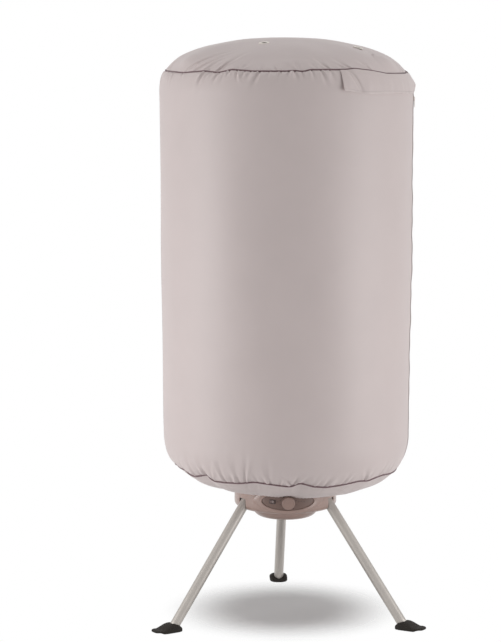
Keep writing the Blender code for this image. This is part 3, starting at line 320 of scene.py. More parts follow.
@dataclass(frozen=True)
class Rubber:
    """Black moulded rubber with a dusty bloom."""

    name: str = "foot_rubber"
    colour: Colour = (38, 34, 31)
    dust_colour: Colour = (70, 64, 59)
    dust: float = 0.02
    pore: float = 0.0011
    pore_depth: float = 0.00006

    def build(self) -> bpy.types.Material:
        """Make the material."""
        tree = Tree.of_material(self.name)
        place = tree.place()
        dust = tree.noise(place, self.dust, 4.0)
        pore = tree.noise(place, self.pore, 2.0)
        colour = tree.blend(dust * dust * 0.35, screen(self.colour), screen(self.dust_colour))
        return tree.surface({"Base Color": colour, "Roughness": 0.58 + dust * 0.25,
                             "Normal": tree.relief(pore, self.pore_depth, 0.6),
                             "Specular IOR Level": 0.2})


@dataclass(frozen=True)
class Metal:
    """Drawn or pressed metal, brushed along one axis of its coordinates."""

    name: str
    colour: Colour
    roughness: float
    metallic: float = 1.0
    stretch: Triple = (900.0, 900.0, 9.0)
    along_cut: bool = False
    cloud: float = 0.03
    scratch: float = 0.000012
    shades: Pair = (0.90, 1.08)

    def build(self) -> bpy.types.Material:
        """Make the material."""
        tree = Tree.of_material(self.name)
        at = tree.cut() if self.along_cut else tree.place()
        lines = tree.noise(at * self.stretch, 1.0, 3.0)
        cloud = tree.noise(tree.place(), self.cloud, 2.0)
        dark, light = (screen(self.colour, shade) for shade in self.shades)
        rough = self.roughness + (lines - 0.5) * 0.14 + (cloud - 0.5) * 0.08
        return tree.surface({"Base Color": tree.blend(lines * 0.5 + cloud * 0.5, dark, light),
                             "Metallic": self.metallic, "Roughness": rough,
                             "Normal": tree.relief(lines, self.scratch, 0.5)})


@dataclass(frozen=True)
class Board:
    """Mineral heat board: chalky, pitted, a little browned."""

    name: str = "mineral_board"
    colour: Colour = (198, 191, 180)
    burnt_colour: Colour = (170, 148, 120)
    stain: float = 0.03
    pit: float = 0.0012
    pit_depth: float = 0.0001

    def build(self) -> bpy.types.Material:
        """Make the material."""
        tree = Tree.of_material(self.name)
        place = tree.place()
        brown = tree.noise(place, self.stain, 3.0)
        pits = tree.noise(place, self.pit, 4.0)
        colour = tree.blend(brown * brown, screen(self.colour), screen(self.burnt_colour))
        return tree.surface({"Base Color": colour, "Roughness": 0.82,
                             "Normal": tree.relief(pits, self.pit_depth, 0.8)})


class Finish(Enum):
    """The finishes of this dryer."""

    NYLON = Nylon()
    PIPING = Binding("piping_tape", (112, 86, 90), 0.0009, 0.62)
    ZIP_TAPE = Binding("zip_tape_weave", (178, 163, 162), 0.0007, 0.75)
    THREAD = Binding("sewing_thread", (192, 180, 178), 0.0004, 0.6)
    SHELL = Moulding("shell_pearl", (158, 133, 124), 0.34, 0.3)
    LOWER = Moulding("shell_lower", (160, 134, 125), 0.36, 0.25)
    PANEL = Moulding("panel_brown", (114, 92, 84), 0.42, 0.0, 0.0005, 0.00003)
    KNOB = Moulding("knob_plastic", (152, 127, 118), 0.38, 0.1)
    DARK = Moulding("dark_moulding", (60, 50, 47), 0.48)
    PRINT = Moulding("dial_print", (52, 40, 38), 0.55, 0.0, 0.0004, 0.00001)
    ROCKER = Moulding("rocker_plastic", (104, 84, 80), 0.26, 0.3)
    HANGER = Moulding("hanger_plastic", (214, 212, 207), 0.44, 0.0, 0.0009, 0.00003)
    RUBBER = Rubber()
    TUBE = Metal("leg_tube_metal", (181, 175, 169), 0.38, 0.5, (700.0, 5.0, 1.0), True)
    POLE = Metal("pole_metal", (200, 195, 188), 0.36, 0.8)
    STEEL = Metal("zinc_steel", (168, 168, 170), 0.38, 1.0, (120.0, 120.0, 120.0))
    FIN = Metal("fin_aluminium", (196, 192, 188), 0.42, 1.0, (400.0, 20.0, 20.0))
    ZIP_METAL = Metal("slider_metal", (178, 166, 160), 0.32, 0.9, (300.0, 300.0, 300.0))
    EYELET = Metal("eyelet_enamel", (248, 240, 231), 0.45, 0.0, (200.0, 200.0, 200.0))
    BOARD = Board()

    def material(self) -> bpy.types.Material:
        """The finish's material, built when it is first asked for."""
        found = bpy.data.materials.get(self.value.name)
        return found or self.value.build()


def walked(line: np.ndarray) -> np.ndarray:
    """Length walked along a line of points, at each of them."""
    return np.concatenate([[0], np.cumsum(np.linalg.norm(np.diff(line, axis=0), axis=1))])


def units(rows: np.ndarray) -> np.ndarray:
    """The rows, each at a length of one."""
    return rows / np.linalg.norm(rows, axis=1)[:, None]


def full_turn(count: int) -> np.ndarray:
    """Angles round a whole turn, in radians."""
    return np.linspace(0, 2 * math.pi, count, endpoint=False)


def off(azimuth: Any, middle: float = 0.0) -> np.ndarray:
    """Degrees from a middle azimuth, from -180 to 180."""
    return (np.asarray(azimuth, float) - middle + 180) % 360 - 180


def hump(offset: Any, width: Any) -> Any:
    """A soft hump: 1 in its middle, falling to 0 on both sides over a width."""
    return np.exp(-((offset / width) ** 2))


def ease(share: Any) -> Any:
    """A share from 0 to 1, eased at both ends."""
    return share ** 2 * (3 - 2 * share)


def signed_power(values: np.ndarray, power: float) -> np.ndarray:
    """Values raised to a power with their signs kept; below 1 it squares off an oval."""
    return np.sign(values) * np.abs(values) ** power


def through(points: Sequence[Sequence[float]], count: int) -> np.ndarray:
    """Smooth curve through points, sampled evenly along its length.

    Args:
        points: the points that it goes through.
        count: how many samples it gets.

    Returns:
        An array of count rows.
    """
    known = np.array(points, float)
    padded = np.vstack([2 * known[0] - known[1], known, 2 * known[-1] - known[-2]])
    steps = np.linspace(0, 1, 40, endpoint=False)[:, None]
    dense = []
    for a, b, c, d in zip(padded, padded[1:], padded[2:], padded[3:]):
        bent = (2 * a - 5 * b + 4 * c - d) * steps ** 2 + (3 * b - a - 3 * c + d) * steps ** 3
        dense.append(0.5 * (2 * b + (c - a) * steps + bent))
    line = np.vstack([*dense, known[-1:]])
    lengths = walked(line)
    wanted = np.linspace(0, lengths[-1], count)
    return np.stack([np.interp(wanted, lengths, line[:, k]) for k in range(line.shape[1])], 1)


def on_axis(azimuth: Any, radius: Any, height: Any) -> np.ndarray:
    """Points round the cover's axis.

    Args:
        azimuth: degrees from the front, positive towards +X.
        radius: distance from the axis.
        height: height over the floor.

    Returns:
        An array of points, of the arguments' joint shape.
    """
    turn, reach, rise = np.broadcast_arrays(np.radians(azimuth), radius, height)
    return np.stack([reach * np.sin(turn), AXIS_Y - reach * np.cos(turn), rise], axis=-1)


def link(name: str, mesh: bpy.types.Mesh) -> bpy.types.Object:
    """Object of a mesh, linked to the scene, with smooth faces."""
    mesh.validate()
    mesh.shade_smooth()
    item = bpy.data.objects.new(name, mesh)
    bpy.context.scene.collection.objects.link(item)
    return item


def face_out(item: bpy.types.Object) -> bpy.types.Object:
    """Turn the faces of a closed piece outwards."""
    work = bmesh.new()
    work.from_mesh(item.data)
    bmesh.ops.recalc_face_normals(work, faces=work.faces)
    work.to_mesh(item.data)
    work.free()
    return item


def lattice(name: str, points: np.ndarray, cut: np.ndarray | None = None,
            closed: tuple[bool, bool] = (False, True), flip: bool = False, ends: bool = False,
            keep: np.ndarray | None = None) -> bpy.types.Object:
    """Object of a lattice of points.

    Args:
        name: the object's name.
        points: rows by columns of points.
        cut: UV of the points in metres, with one more row or column where that way is closed.
        closed: whether the rows and the columns close on themselves.
        flip: turn the faces over.
        ends: close the first and the last row with a face.
        keep: rows by columns of faces that are made; all of them if it is None.

    Returns:
        The linked object.
    """
    rows, columns = points.shape[:2]
    high = rows if closed[0] else rows - 1
    wide = columns if closed[1] else columns - 1
    row, column = np.meshgrid(np.arange(high), np.arange(wide), indexing="ij")
    corners_r = np.stack([row, row + 1, row + 1, row], axis=-1).reshape(-1, 4)
    corners_c = np.stack([column, column, column + 1, column + 1], axis=-1).reshape(-1, 4)
    if keep is not None:
        corners_r, corners_c = corners_r[keep.ravel()], corners_c[keep.ravel()]
    if flip:
        corners_r, corners_c = corners_r[:, ::-1], corners_c[:, ::-1]
    faces = ((corners_r % rows) * columns + corners_c % columns).tolist()
    if ends:
        first, last = list(range(columns)), list(range((rows - 1) * columns, rows * columns))
        faces += [first if flip else first[::-1], last[::-1] if flip else last]
    mesh = bpy.data.meshes.new(name)
    mesh.from_pydata(points.reshape(-1, 3).tolist(), [], faces)
    if cut is not None:
        layer = mesh.uv_layers.new(name="cut")
        flat = np.zeros((len(mesh.loops), 2), np.float32)
        flat[: corners_r.size] = cut[corners_r.ravel(), corners_c.ravel()]
        layer.data.foreach_set("uv", flat.ravel())
    return link(name, mesh)


def sweep(name: str, path: np.ndarray, radius: Any, sides: int = 10,
          closed: bool = False) -> bpy.types.Object:
    """Round rod along a path.

    Args:
        name: the object's name.
        path: the points of its centre line.
        radius: one radius, or one for each point.
        sides: how many sides it has.
        closed: whether the path closes on itself.

    Returns:
        The linked object, with UV in metres along and round it.
    """
    before, after = np.roll(path, 1, axis=0), np.roll(path, -1, axis=0)
    if not closed:
        before[0], after[-1] = path[0], path[-1]
    along = units(after - before)
    upright = np.abs(along[:, 2]).max() >= 0.95
    side = units(np.cross(along, ASIDE if upright else UP))
    up = np.cross(side, along)
    turn = full_turn(sides)[None, :, None]
    size = np.broadcast_to(np.asarray(radius, float), (len(path),))[:, None, None]
    ring = side[:, None] * np.cos(turn) + up[:, None] * np.sin(turn)
    lengths = walked(path)
    if closed:
        lengths = np.append(lengths, lengths[-1] + np.linalg.norm(path[0] - path[-1]))
    around = np.linspace(0, 2 * math.pi * float(size.mean()), sides + 1)
    cut = np.stack(np.meshgrid(lengths, around, indexing="ij"), axis=-1)
    return lattice(name, path[:, None] + ring * size, cut, (closed, True), ends=not closed)


def lathe(name: str, profile: Sequence[Pair], steps: int, centre: Sequence[float],
          axis: Sequence[float], ends: bool = False) -> bpy.types.Object:
    """Turned piece: a profile of radius and height revolved about an axis.

    Args:
        name: the object's name.
        profile: pairs of a radius and a height along the axis.
        steps: how many steps it is turned in.
        centre: the point that heights start from.
        axis: the axis' direction.
        ends: close the first and the last ring.

    Returns:
        The linked object.
    """
    outline = np.array(profile, float)
    turn = full_turn(steps)
    tilt = Vector(UP).rotation_difference(Vector(axis)).to_matrix()
    rings = np.stack([outline[:, :1] * np.cos(turn), outline[:, :1] * np.sin(turn),
                      np.repeat(outline[:, 1:], steps, axis=1)], axis=-1)
    points = rings @ np.array(tilt).T + np.array(centre)
    around = np.linspace(0, 2 * math.pi * outline[:, 0].max(), steps + 1)
    cut = np.stack(np.meshgrid(walked(outline), around, indexing="ij"), axis=-1)[..., ::-1]
    return face_out(lattice(name, points, cut, ends=ends))


BEAD_RINGS = ((-1.0, 0.35), (-0.55, 1.0), (0.55, 1.0), (1.0, 0.35))
BEAD_SIDES = 6


def beads(name: str, centres: np.ndarray, along: np.ndarray, out: np.ndarray,
          size: Triple) -> bpy.types.Object:
    """Many small six-sided beads with narrow ends, such as stitches, as one piece.

    Args:
        name: the object's name.
        centres: where they sit.
        along: unit directions of their length.
        out: unit directions that they stand up in.
        size: half their length, width and height.

    Returns:
        The linked object.
    """
    across = np.cross(along, out)
    corners = []
    for end, narrow in BEAD_RINGS:
        for turn in full_turn(BEAD_SIDES):
            offset = along * end * size[0] + across * (math.cos(turn) * size[1] * narrow)
            corners.append(centres + offset + out * (math.sin(turn) * size[2] * narrow))
    points = np.stack(corners, axis=1).reshape(-1, 3)
    faces = []
    for bead in range(len(centres)):
        start = bead * len(corners)
        last = start + len(corners) - BEAD_SIDES
        for ring in range(start, last, BEAD_SIDES):
            for side in range(BEAD_SIDES):
                a, b = ring + side, ring + (side + 1) % BEAD_SIDES
                faces.append((a, b, b + BEAD_SIDES, a + BEAD_SIDES))
        faces.append(tuple(range(start + BEAD_SIDES - 1, start - 1, -1)))
        faces.append(tuple(range(last, last + BEAD_SIDES)))
    mesh = bpy.data.meshes.new(name)
    mesh.from_pydata(points.tolist(), [], faces)
    return face_out(link(name, mesh))


def dress(item: bpy.types.Object, finish: Finish, body: str, slot: str,
          *nodes: str) -> bpy.types.Object:
    """Give a piece its finish and body, and let it stand for CAD nodes.

    Args:
        item: the piece.
        finish: its finish.
        body: the CAD body that it rides on.
        slot: the record's material slot; not used.
        nodes: the CAD nodes that it replaces.

    Returns:
        The piece.
    """
    item.data.materials.clear()
    item.data.materials.append(finish.material())
    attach(item, body)
    if nodes:
        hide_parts(*nodes)
    log.info("%s: %d faces on %s", item.name, len(item.data.polygons), body)
    return item


def soften(item: bpy.types.Object, width: float, angle: float, harden: bool = False) -> None:
    """Bevel a piece's sharp edges.

    Args:
        item: the piece.
        width: the bevel's width.
        angle: degrees from which an edge is sharp.
        harden: keep the flat faces' own normals.
    """
    edge = item.modifiers.new("soft_edges", "BEVEL")
    edge.width = width
    edge.segments = 2
    edge.limit_method = "ANGLE"
    edge.angle_limit = math.radians(angle)
    edge.harden_normals = harden


def refinish(node: str, finish: Finish, bevel: float = 0.0) -> None:
    """Give a CAD node that stays a finish, and soften its edges by a bevel in metres."""
    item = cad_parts[node]
    for index in range(max(1, len(item.material_slots))):
        if index >= len(item.data.materials):
            item.data.materials.append(finish.material())
        item.material_slots[index].material = finish.material()
    if bevel:
        soften(item, bevel, 35, True)
    log.info("%s: CAD solid in %s", node, finish.value.name)


@dataclass(frozen=True)
class PhotoCamera:
    """The camera of the photograph, fitted from the object's outline."""

    location: Triple = (-0.2631, -4.8783, 1.3014)
    dip: float = 6.86
    turn: float = -2.11
    lens: float = 113.95
    sensor: float = 36.0

    def build(self) -> None:
        """Make the scene's camera."""
        data = bpy.data.cameras.new("photo_camera")
        data.lens = self.lens
        data.sensor_width = self.sensor
        data.clip_end = 60.0
        item = bpy.data.objects.new("photo_camera", data)
        bpy.context.scene.collection.objects.link(item)
        item.location = self.location
        item.rotation_euler = self.facing()
        bpy.context.scene.camera = item

    def facing(self) -> Euler:
        """The camera's rotation."""
        return Euler((math.radians(90 - self.dip), 0.0, math.radians(self.turn)))

    def on_cylinder(self, x: float, y: float, radius: float) -> Pair:
        """Where a pixel's line of sight meets a cylinder round the cover's axis.

        Args:
            x: pixels from the left.
            y: pixels from the top.
            radius: the cylinder's radius.

        Returns:
            Azimuth in degrees and height in metres of the near side.
        """
        pixels = self.lens / self.sensor * IMAGE_HEIGHT
        sight = Vector(((x - IMAGE_WIDTH / 2) / pixels, (IMAGE_HEIGHT / 2 - y) / pixels, -1.0))
        sight.rotate(self.facing())
        ahead, across = sight.x, sight.y
        start_x, start_y = self.location[0], self.location[1] - AXIS_Y
        square = ahead ** 2 + across ** 2
        half = ahead * start_x + across * start_y
        inside = max(0.0, half ** 2 - square * (start_x ** 2 + start_y ** 2 - radius ** 2))
        far = (-half - math.sqrt(inside)) / square
        hit_x, hit_y = start_x + far * ahead, start_y + far * across
        return math.degrees(math.atan2(hit_x, -hit_y)), self.location[2] + far * sight.z


@dataclass
class SeamLine:
    """A seam round the cover: read from the photograph in front, a sum of waves behind."""

    camera: PhotoCamera
    pixels: Sequence[Pair]
    radius: float
    level: float
    waves: Sequence[Triple]
    shift: float
    blur: float = 0.9
    blur_reach: float = 12.0
    step: float = 0.5
    knot_step: float = 6.0
    join: float = 14.0
    table: np.ndarray = field(init=False)

    def __post_init__(self) -> None:
        """Work out the height for each degree."""
        seen = sorted(self.camera.on_cylinder(x + self.shift, y, self.radius)
                      for x, y in self.pixels)
        behind = np.arange(seen[-1][0] + self.join, seen[0][0] + 360 - self.join, self.knot_step)
        knots = np.array(seen + [(a, self.level + self.wave(a)) for a in behind])
        around = np.vstack([knots + (turn, 0) for turn in (-360, 0, 360)])
        degrees = np.arange(-540, 540, self.step)
        rough = np.interp(degrees, around[:, 0], around[:, 1])
        offsets = np.arange(-self.blur_reach, self.blur_reach + self.step, self.step)
        weight = hump(offsets, self.blur)
        self.table = np.stack([degrees, np.convolve(rough, weight / weight.sum(), "same")])

    def wave(self, azimuth: float) -> float:
        """The seam's rise over its level, from its waves alone."""
        return sum(h * np.sin(np.radians(turns * azimuth + phase))
                   for turns, h, phase in self.waves)

    def rise(self, azimuth: Any) -> np.ndarray:
        """The seam's rise over its level at azimuths in degrees."""
        return np.interp(off(azimuth), *self.table) - self.level


@dataclass(frozen=True)
class Crease:
    """One crease that runs out from a seam, with a soft ridge on each side."""

    azimuth: float
    tilt: float
    length: float
    width: float
    depth: float
    ridge: float = 0.5
    valley: float = 1.0
    both_ridges: float = 0.9
    ridge_offset: float = 1.8
    ridge_width: float = 1.2
    narrow: float = 0.5
    widening: float = 1.3
    straightening: float = 0.25
    fade_power: float = 1.4
    seam_calm: float = 0.85
    seam_calm_reach: float = 0.0032

    def relief(self, azimuth: np.ndarray, distance: np.ndarray, radius: float) -> np.ndarray:
        """How far the crease moves the cloth outwards.

        Args:
            azimuth: degrees round the cover.
            distance: metres from the seam.
            radius: the seam's radius.

        Returns:
            Metres, negative in the crease.
        """
        share = np.clip(distance / self.length, 0, 1)
        bend = math.tan(math.radians(self.tilt)) * distance * (1 - self.straightening * share)
        across = radius * np.radians(off(azimuth, self.azimuth)) - bend
        width = self.width * (self.narrow + self.widening * share)
        calm = 1 - self.seam_calm * np.exp(-distance / self.seam_calm_reach)
        fade = (1 - share) ** self.fade_power * calm
        aside, broad = self.ridge_offset * width, self.ridge_width * width
        left, right = hump(across + aside, broad), hump(across - aside, broad)
        ridges = self.ridge * left + (self.both_ridges - self.ridge) * right
        return self.depth * fade * (ridges - self.valley * hump(across, width))


def fold(creases: Sequence[Crease], azimuth: np.ndarray, distance: np.ndarray,
         radius: float) -> np.ndarray:
    """Sum of the relief of many creases, whose other arguments are those of one."""
    total = np.zeros(np.broadcast(azimuth, distance).shape)
    for crease in creases:
        total += crease.relief(azimuth, distance, radius)
    return total


def cloth_cut(azimuth: np.ndarray, down: np.ndarray) -> np.ndarray:
    """UV of cloth on the wall, in metres round and down it."""
    return np.stack(np.broadcast_arrays(COVER_RADIUS * np.radians(azimuth), down), -1)


@dataclass(frozen=True)
class Creases:
    """The cover's creases: read from the photograph in front, seeded on the unseen sides."""

    camera: PhotoCamera
    top_radius: float
    bottom_radius: float
    pixel: float = 0.0029
    top_y: float = 71.0
    bottom_y: float = 480.0
    crown_y: float = 70.0
    width_shares: Four = (0.80, 0.95, 1.10, 1.25)
    ridge_shares: Pair = (0.25, 0.65)
    ridges: Pair = (0.3, 0.6)
    # seeded pairs over the bottom seam: degrees, metres, and shares of the first crease
    pair_spread: float = 2.5
    pair_tilt: Pair = (5.0, 34.0)
    pair_length: Pair = (0.030, 0.11)
    pair_width: Pair = (0.0034, 0.0050)
    pair_depth: Pair = (0.0013, 0.0024)
    pair_chance: float = 0.6
    pair_gap: float = 0.6
    second_length: Pair = (0.5, 0.9)
    second_depth: float = 0.8
    # x at the seam, x at the far end, length in pixels, strength
    top: tuple[Four, ...] = (
        (172, 171, 12, 1.3), (177, 176, 14, 1.6), (184, 190, 9, 1.2), (207, 199, 20, 2.2),
        (213, 205, 11, 1.4), (221, 215, 13, 1.7), (228, 222, 14, 1.5), (231, 226, 12, 1.6),
        (238, 240, 12, 1.7), (246, 243, 10, 1.2), (252, 248, 10, 1.2), (261, 253, 17, 1.9),
        (270, 268, 9, 1.1), (282, 278, 10, 1.4), (290, 287, 10, 1.5), (295, 298, 12, 1.7),
        (303, 303, 11, 1.4), (312, 314, 12, 1.4), (321, 326, 15, 1.6), (330, 333, 12, 1.3))
    bottom: tuple[Four, ...] = (
        (186, 184, 14, 1.3), (196, 193, 24, 1.8), (201, 204, 18, 1.4), (207, 205, 28, 2.0),
        (213, 217, 22, 1.6), (226, 222, 26, 1.9), (232, 236, 19, 1.5), (239, 238, 30, 1.9),
        (245, 251, 32, 2.0), (257, 255, 18, 1.2), (264, 266, 14, 1.2), (270, 268, 30, 2.0),
        (279, 284, 15, 1.4), (291, 283, 13, 3.0), (292, 301, 14, 3.0), (302, 309, 12, 1.5),
        (312, 317, 14, 1.4), (316, 322, 9, 1.2), (324, 330, 12, 2.8), (334, 339, 8, 1.3),
        (341, 348, 13, 1.6), (347.5, 351, 9, 2.0), (364, 359, 15, 2.2), (366, 371, 12, 1.5),
        (376, 384, 18, 1.7), (385, 390, 14, 1.4))
    # drag lines on the crown: x at the seam, tilt in degrees, length in metres, strength
    crown: tuple[Four, ...] = (
        (186, 56, 0.100, 3.2), (194, 58, 0.080, 2.2), (204, 50, 0.060, 2.0),
        (209, 20, 0.014, 2.4), (217, 46, 0.085, 2.8), (238, 20, 0.016, 2.6),
        (241, 38, 0.040, 1.8), (262, 12, 0.020, 1.6), (276, 4, 0.018, 1.6),
        (300, -20, 0.035, 1.8), (318, -28, 0.030, 1.6), (330, -35, 0.055, 2.2),
        (344, -20, 0.020, 1.8), (352, -42, 0.050, 2.2), (372, -38, 0.040, 2.0))

    def read(self, rows: Sequence[Four], y: float, radius: float, width: float, depth: float,
             valley: float) -> list[Crease]:
        """Creases of the photograph that start on a seam.

        Args:
            rows: for each, x at the seam, x at its far end, length in pixels and strength.
            y: the seam's middle height in pixels.
            radius: the seam's radius.
            width: metres across each crease.
            depth: metres of depth at a strength of 1.
            valley: how deep the creases are beside their ridges.

        Returns:
            The creases.
        """
        found = []
        for number, (start, end, length, strength) in enumerate(rows):
            azimuth = self.camera.on_cylinder(start, y, radius)[0]
            tilt = math.degrees(math.atan2(end - start, length))
            broad = width * self.width_shares[number % len(self.width_shares)]
            ridge = self.ridge_shares[number % len(self.ridge_shares)]
            found.append(Crease(azimuth, tilt, length * self.pixel, broad, strength * depth,
                                ridge, valley))
        return found

    @staticmethod
    def cast(seed: int, azimuths: Sequence[float], spread: float, tilt: float, length: Pair,
             width: Pair, depth: Pair, ridges: Pair | None = None) -> list[Crease]:
        """Seeded creases.

        Args:
            seed: the seed of their draws.
            azimuths: degrees that they start near.
            spread: how far from there, in degrees.
            tilt: most degrees to either side.
            length: least and most metres of length.
            width: least and most metres of width.
            depth: least and most metres of depth.
            ridges: least and most share of the left ridge; even ridges if it is None.

        Returns:
            The creases.
        """
        dice = np.random.default_rng(seed)
        ranges = [(-tilt, tilt), length, width, depth, *([ridges] if ridges else [])]
        return [Crease(azimuth + dice.uniform(-spread, spread),
                       *[dice.uniform(low, high) for low, high in ranges])
                for azimuth in azimuths]

    def below_top(self) -> list[Crease]:
        """Creases under the top seam."""
        azimuths = [*np.arange(-86, -66, 5), *np.arange(98, 272, 5.2)]
        return (self.read(self.top, self.top_y, self.top_radius, 0.0033, 0.0030, 0.9)
                + self.cast(11, azimuths, 2, 34, (0.018, 0.050), (0.0030, 0.0042),
                            (0.0011, 0.0022), self.ridges))

    def above_bottom(self) -> list[Crease]:
        """Creases over the bottom seam; the seeded ones come alone or in pairs."""
        found = self.read(self.bottom, self.bottom_y, self.bottom_radius, 0.0045, 0.0023, 0.7)
        dice = np.random.default_rng(5)
        for azimuth in np.arange(76, 300, 7.0):
            place = azimuth + dice.uniform(-self.pair_spread, self.pair_spread)
            length = dice.uniform(*self.pair_length)
            depth, width = dice.uniform(*self.pair_depth), dice.uniform(*self.pair_width)
            found.append(Crease(place, dice.uniform(*self.pair_tilt), length, width, depth,
                                dice.uniform(*self.ridges)))
            if dice.uniform() < self.pair_chance:
                found.append(Crease(place - self.pair_gap, -dice.uniform(*self.pair_tilt),
                                    length * dice.uniform(*self.second_length), width,
                                    depth * self.second_depth, dice.uniform(*self.ridges)))
        return found

    def above_top(self) -> list[Crease]:
        """Drag lines on the crown."""
        width, depth = 0.0056, 0.0019
        read = [Crease(self.camera.on_cylinder(x, self.crown_y, self.top_radius)[0], tilt, length,
                       width, strength * depth) for x, tilt, length, strength in self.crown]
        return read + self.cast(23, np.arange(66, 292, 10.0), 4, 50, (0.020, 0.085),
                                (0.0040, 0.0060), (0.0014, 0.0028), self.ridges)

    def below_bottom(self) -> list[Crease]:
        """Creases of the bottom panel."""
        return self.cast(31, np.arange(-180, 180, 11), 4, 38, (0.02, 0.075), (0.003, 0.005),
                         (0.0006, 0.0014))


@dataclass
class Cover:
    """Nylon cover: crown, front and back walls, bottom panel, piping, hem and eyelets."""

    camera: PhotoCamera
    zip_azimuth: float = 84.0
    seam_azimuth: float = -90.0
    columns: int = 900

    wall_radius: float = COVER_RADIUS
    low_radius: float = 0.295
    seam_top_radius: float = 0.2834
    seam_top: float = 1.3137
    seam_bottom_radius: float = 0.2682
    seam_bottom: float = 0.369
    shoulder: float = 0.049
    corner: float = 0.076
    corner_turn: float = 68.0
    bend_steps: int = 24
    straight_steps: int = 12
    belly: float = 0.0026
    belly_height: float = 0.87
    belly_reach: float = 0.15
    seam_wave_reach: float = 0.070
    zip_calm: float = 6.0
    zip_broad_share: float = 0.15
    # height in metres, waves round the cover, phase, twist for each metre of height
    broad_waves: tuple[Four, ...] = (
        (0.0011, 2, 0.8, 1.4), (0.0008, 5, 2.0, -3.1), (0.0006, 9, 0.3, 6.0))
    pucker: float = 0.0011
    pucker_beats: Triple = (76.0, 31.0, 1.1)
    row_fine: float = 0.0024
    row_growth: float = 0.0080
    rows_fine_top: float = 0.075
    rows_fine_bottom: float = 0.16
    rows_fine_share: float = 0.8

    # the cloth drawn in over the upper end of the zip
    dip_depth: float = 0.0040
    dip_azimuth: float = 90.0
    dip_degrees: float = 9.0
    dip_height: float = 1.276
    dip_reach: float = 0.012

    # the cover leans to the left at its top and is drawn in on the left near its bottom
    seam_lean: float = 0.0014
    lean_from: float = 1.25
    low_lean: float = 0.0022
    low_lean_width: float = 0.56
    low_lean_height: float = 0.39
    low_lean_reach: float = 0.075

    crown: float = 0.0796
    crown_lean: float = 0.0043
    crown_wave_reach: float = 0.025
    # shares of a relief that act outwards at the top and upwards at the seam
    top_outwards: float = 0.25
    seam_upwards: float = 0.35
    crown_pitch: float = 0.28
    crown_soft: float = 0.16
    crown_middle_share: float = 0.0015
    crown_samples: int = 500
    crown_fine_share: float = 0.28
    crown_fine_rows: int = 44
    crown_rows: int = 52
    crown_waves: tuple[Triple, ...] = ((0.0022, 4, 0.6), (0.0016, 7, 2.2), (0.0010, 11, 0.0))
    crown_shares: tuple[Pair, ...] = (
        (1.0, 0.0), (0.973, 0.112), (0.927, 0.28), (0.839, 0.485),
        (0.656, 0.72), (0.40, 0.915), (0.20, 0.98), (0.0, 1.0))
    arm_degrees: int = 60
    arm_radius: float = 0.262
    arm_rise: float = 0.0042
    arm_width: float = 6.0
    arm_reach: float = 0.018
    arm_touch: float = 0.0004

    eyelet_azimuths: Four = (-20.0, 58.0, 160.0, 250.0)
    eyelet_shares: Four = (0.55, 0.69, 0.62, 0.62)
    eyelet_hole: float = 0.0076
    eyelet_steps: int = 48
    eyelet_profile: tuple[Pair, ...] = (
        (0.0066, -0.0014), (0.0064, -0.0006), (0.0067, 0.0001), (0.0076, 0.0006),
        (0.0090, 0.0008), (0.0105, 0.0007), (0.0118, 0.0003), (0.0125, -0.0002),
        (0.0122, -0.0009), (0.0110, -0.0014))

    piping: float = 0.0019
    piping_out: float = 0.0002
    piping_swell: float = 0.05
    piping_swells: int = 47
    bead_sides: int = 12

    hem_radius: float = 0.1260
    hem_bead: float = 0.0021
    hem_gather: float = 0.00035
    hem_gathers: int = 96
    hem_level: float = 0.3140
    hem_lean: float = 0.0068
    hem_lift: float = 0.0049
    hem_lift_degrees: float = 7.5
    hem_climb: float = 0.0035
    bezel_degrees: float = 41.4
    climb_start: float = 1.35
    climb_share: float = 0.25
    panel_lap: float = 0.0016
    panel_length: float = 0.15
    panel_cut: float = 0.147
    panel_rows: int = 56
    panel_gathers: Pair = (0.0007, 0.0005)
    panel_gather_reach: float = 0.13
    gather_sway: Pair = (3.0, 5.0)
    fine_gathers: int = 61
    panel_shares: tuple[Pair, ...] = (
        (0.0, 1.0), (0.22, 0.56), (0.50, 0.27), (0.75, 0.13), (1.0, 0.0))

    stitch: Triple = (0.00130, 0.00034, 0.00028)
    stitch_pitch: float = 0.0034
    stitch_out: float = 0.0002
    stitch_depth: float = 0.003
    stitch_end: float = 0.004

    top_shift: float = 0.9
    top_waves: tuple[Triple, ...] = ((3, 0.0025, 57), (6, 0.0032, -54), (13, 0.0018, 59))
    top_pixels: tuple[Pair, ...] = (
        (165.5, 70.3), (184, 72.7), (205, 71), (218, 72.7), (232, 69.5), (253, 71.2),
        (285, 71.2), (293, 70.5), (303, 71.5), (310, 69.7), (333, 69.6), (345, 69.6),
        (353, 68.5), (370, 70.5), (385, 73.5), (395, 73.5), (404.6, 73.2))
    bottom_shift: float = -0.8
    bottom_waves: tuple[Triple, ...] = ((1, 0.0057, 164), (6, 0.0032, 141), (13, 0.0036, -7))
    bottom_pixels: tuple[Pair, ...] = (
        (177.6, 464.9), (181.6, 468.6), (185.4, 469.9), (190.2, 474.5), (195, 476.6),
        (200.7, 475.9), (207.6, 474.6), (210.6, 478.6), (215, 481.4), (226.6, 482.8),
        (241.9, 483.4), (253.8, 482.2), (264.8, 483.6), (276, 485.3), (287.8, 486.7),
        (292.6, 486.5), (296.3, 484.5), (301, 483.4), (307.7, 485), (313.5, 486.7),
        (325, 487.4), (333.6, 486.5), (347, 484.1), (359.4, 481.2), (369, 480.7),
        (376.6, 477.4), (383.3, 475), (391, 473.5), (395.8, 470.2), (399.4, 466.1))
    top_line: SeamLine = field(init=False)
    bottom_line: SeamLine = field(init=False)
    creases: Creases = field(init=False)

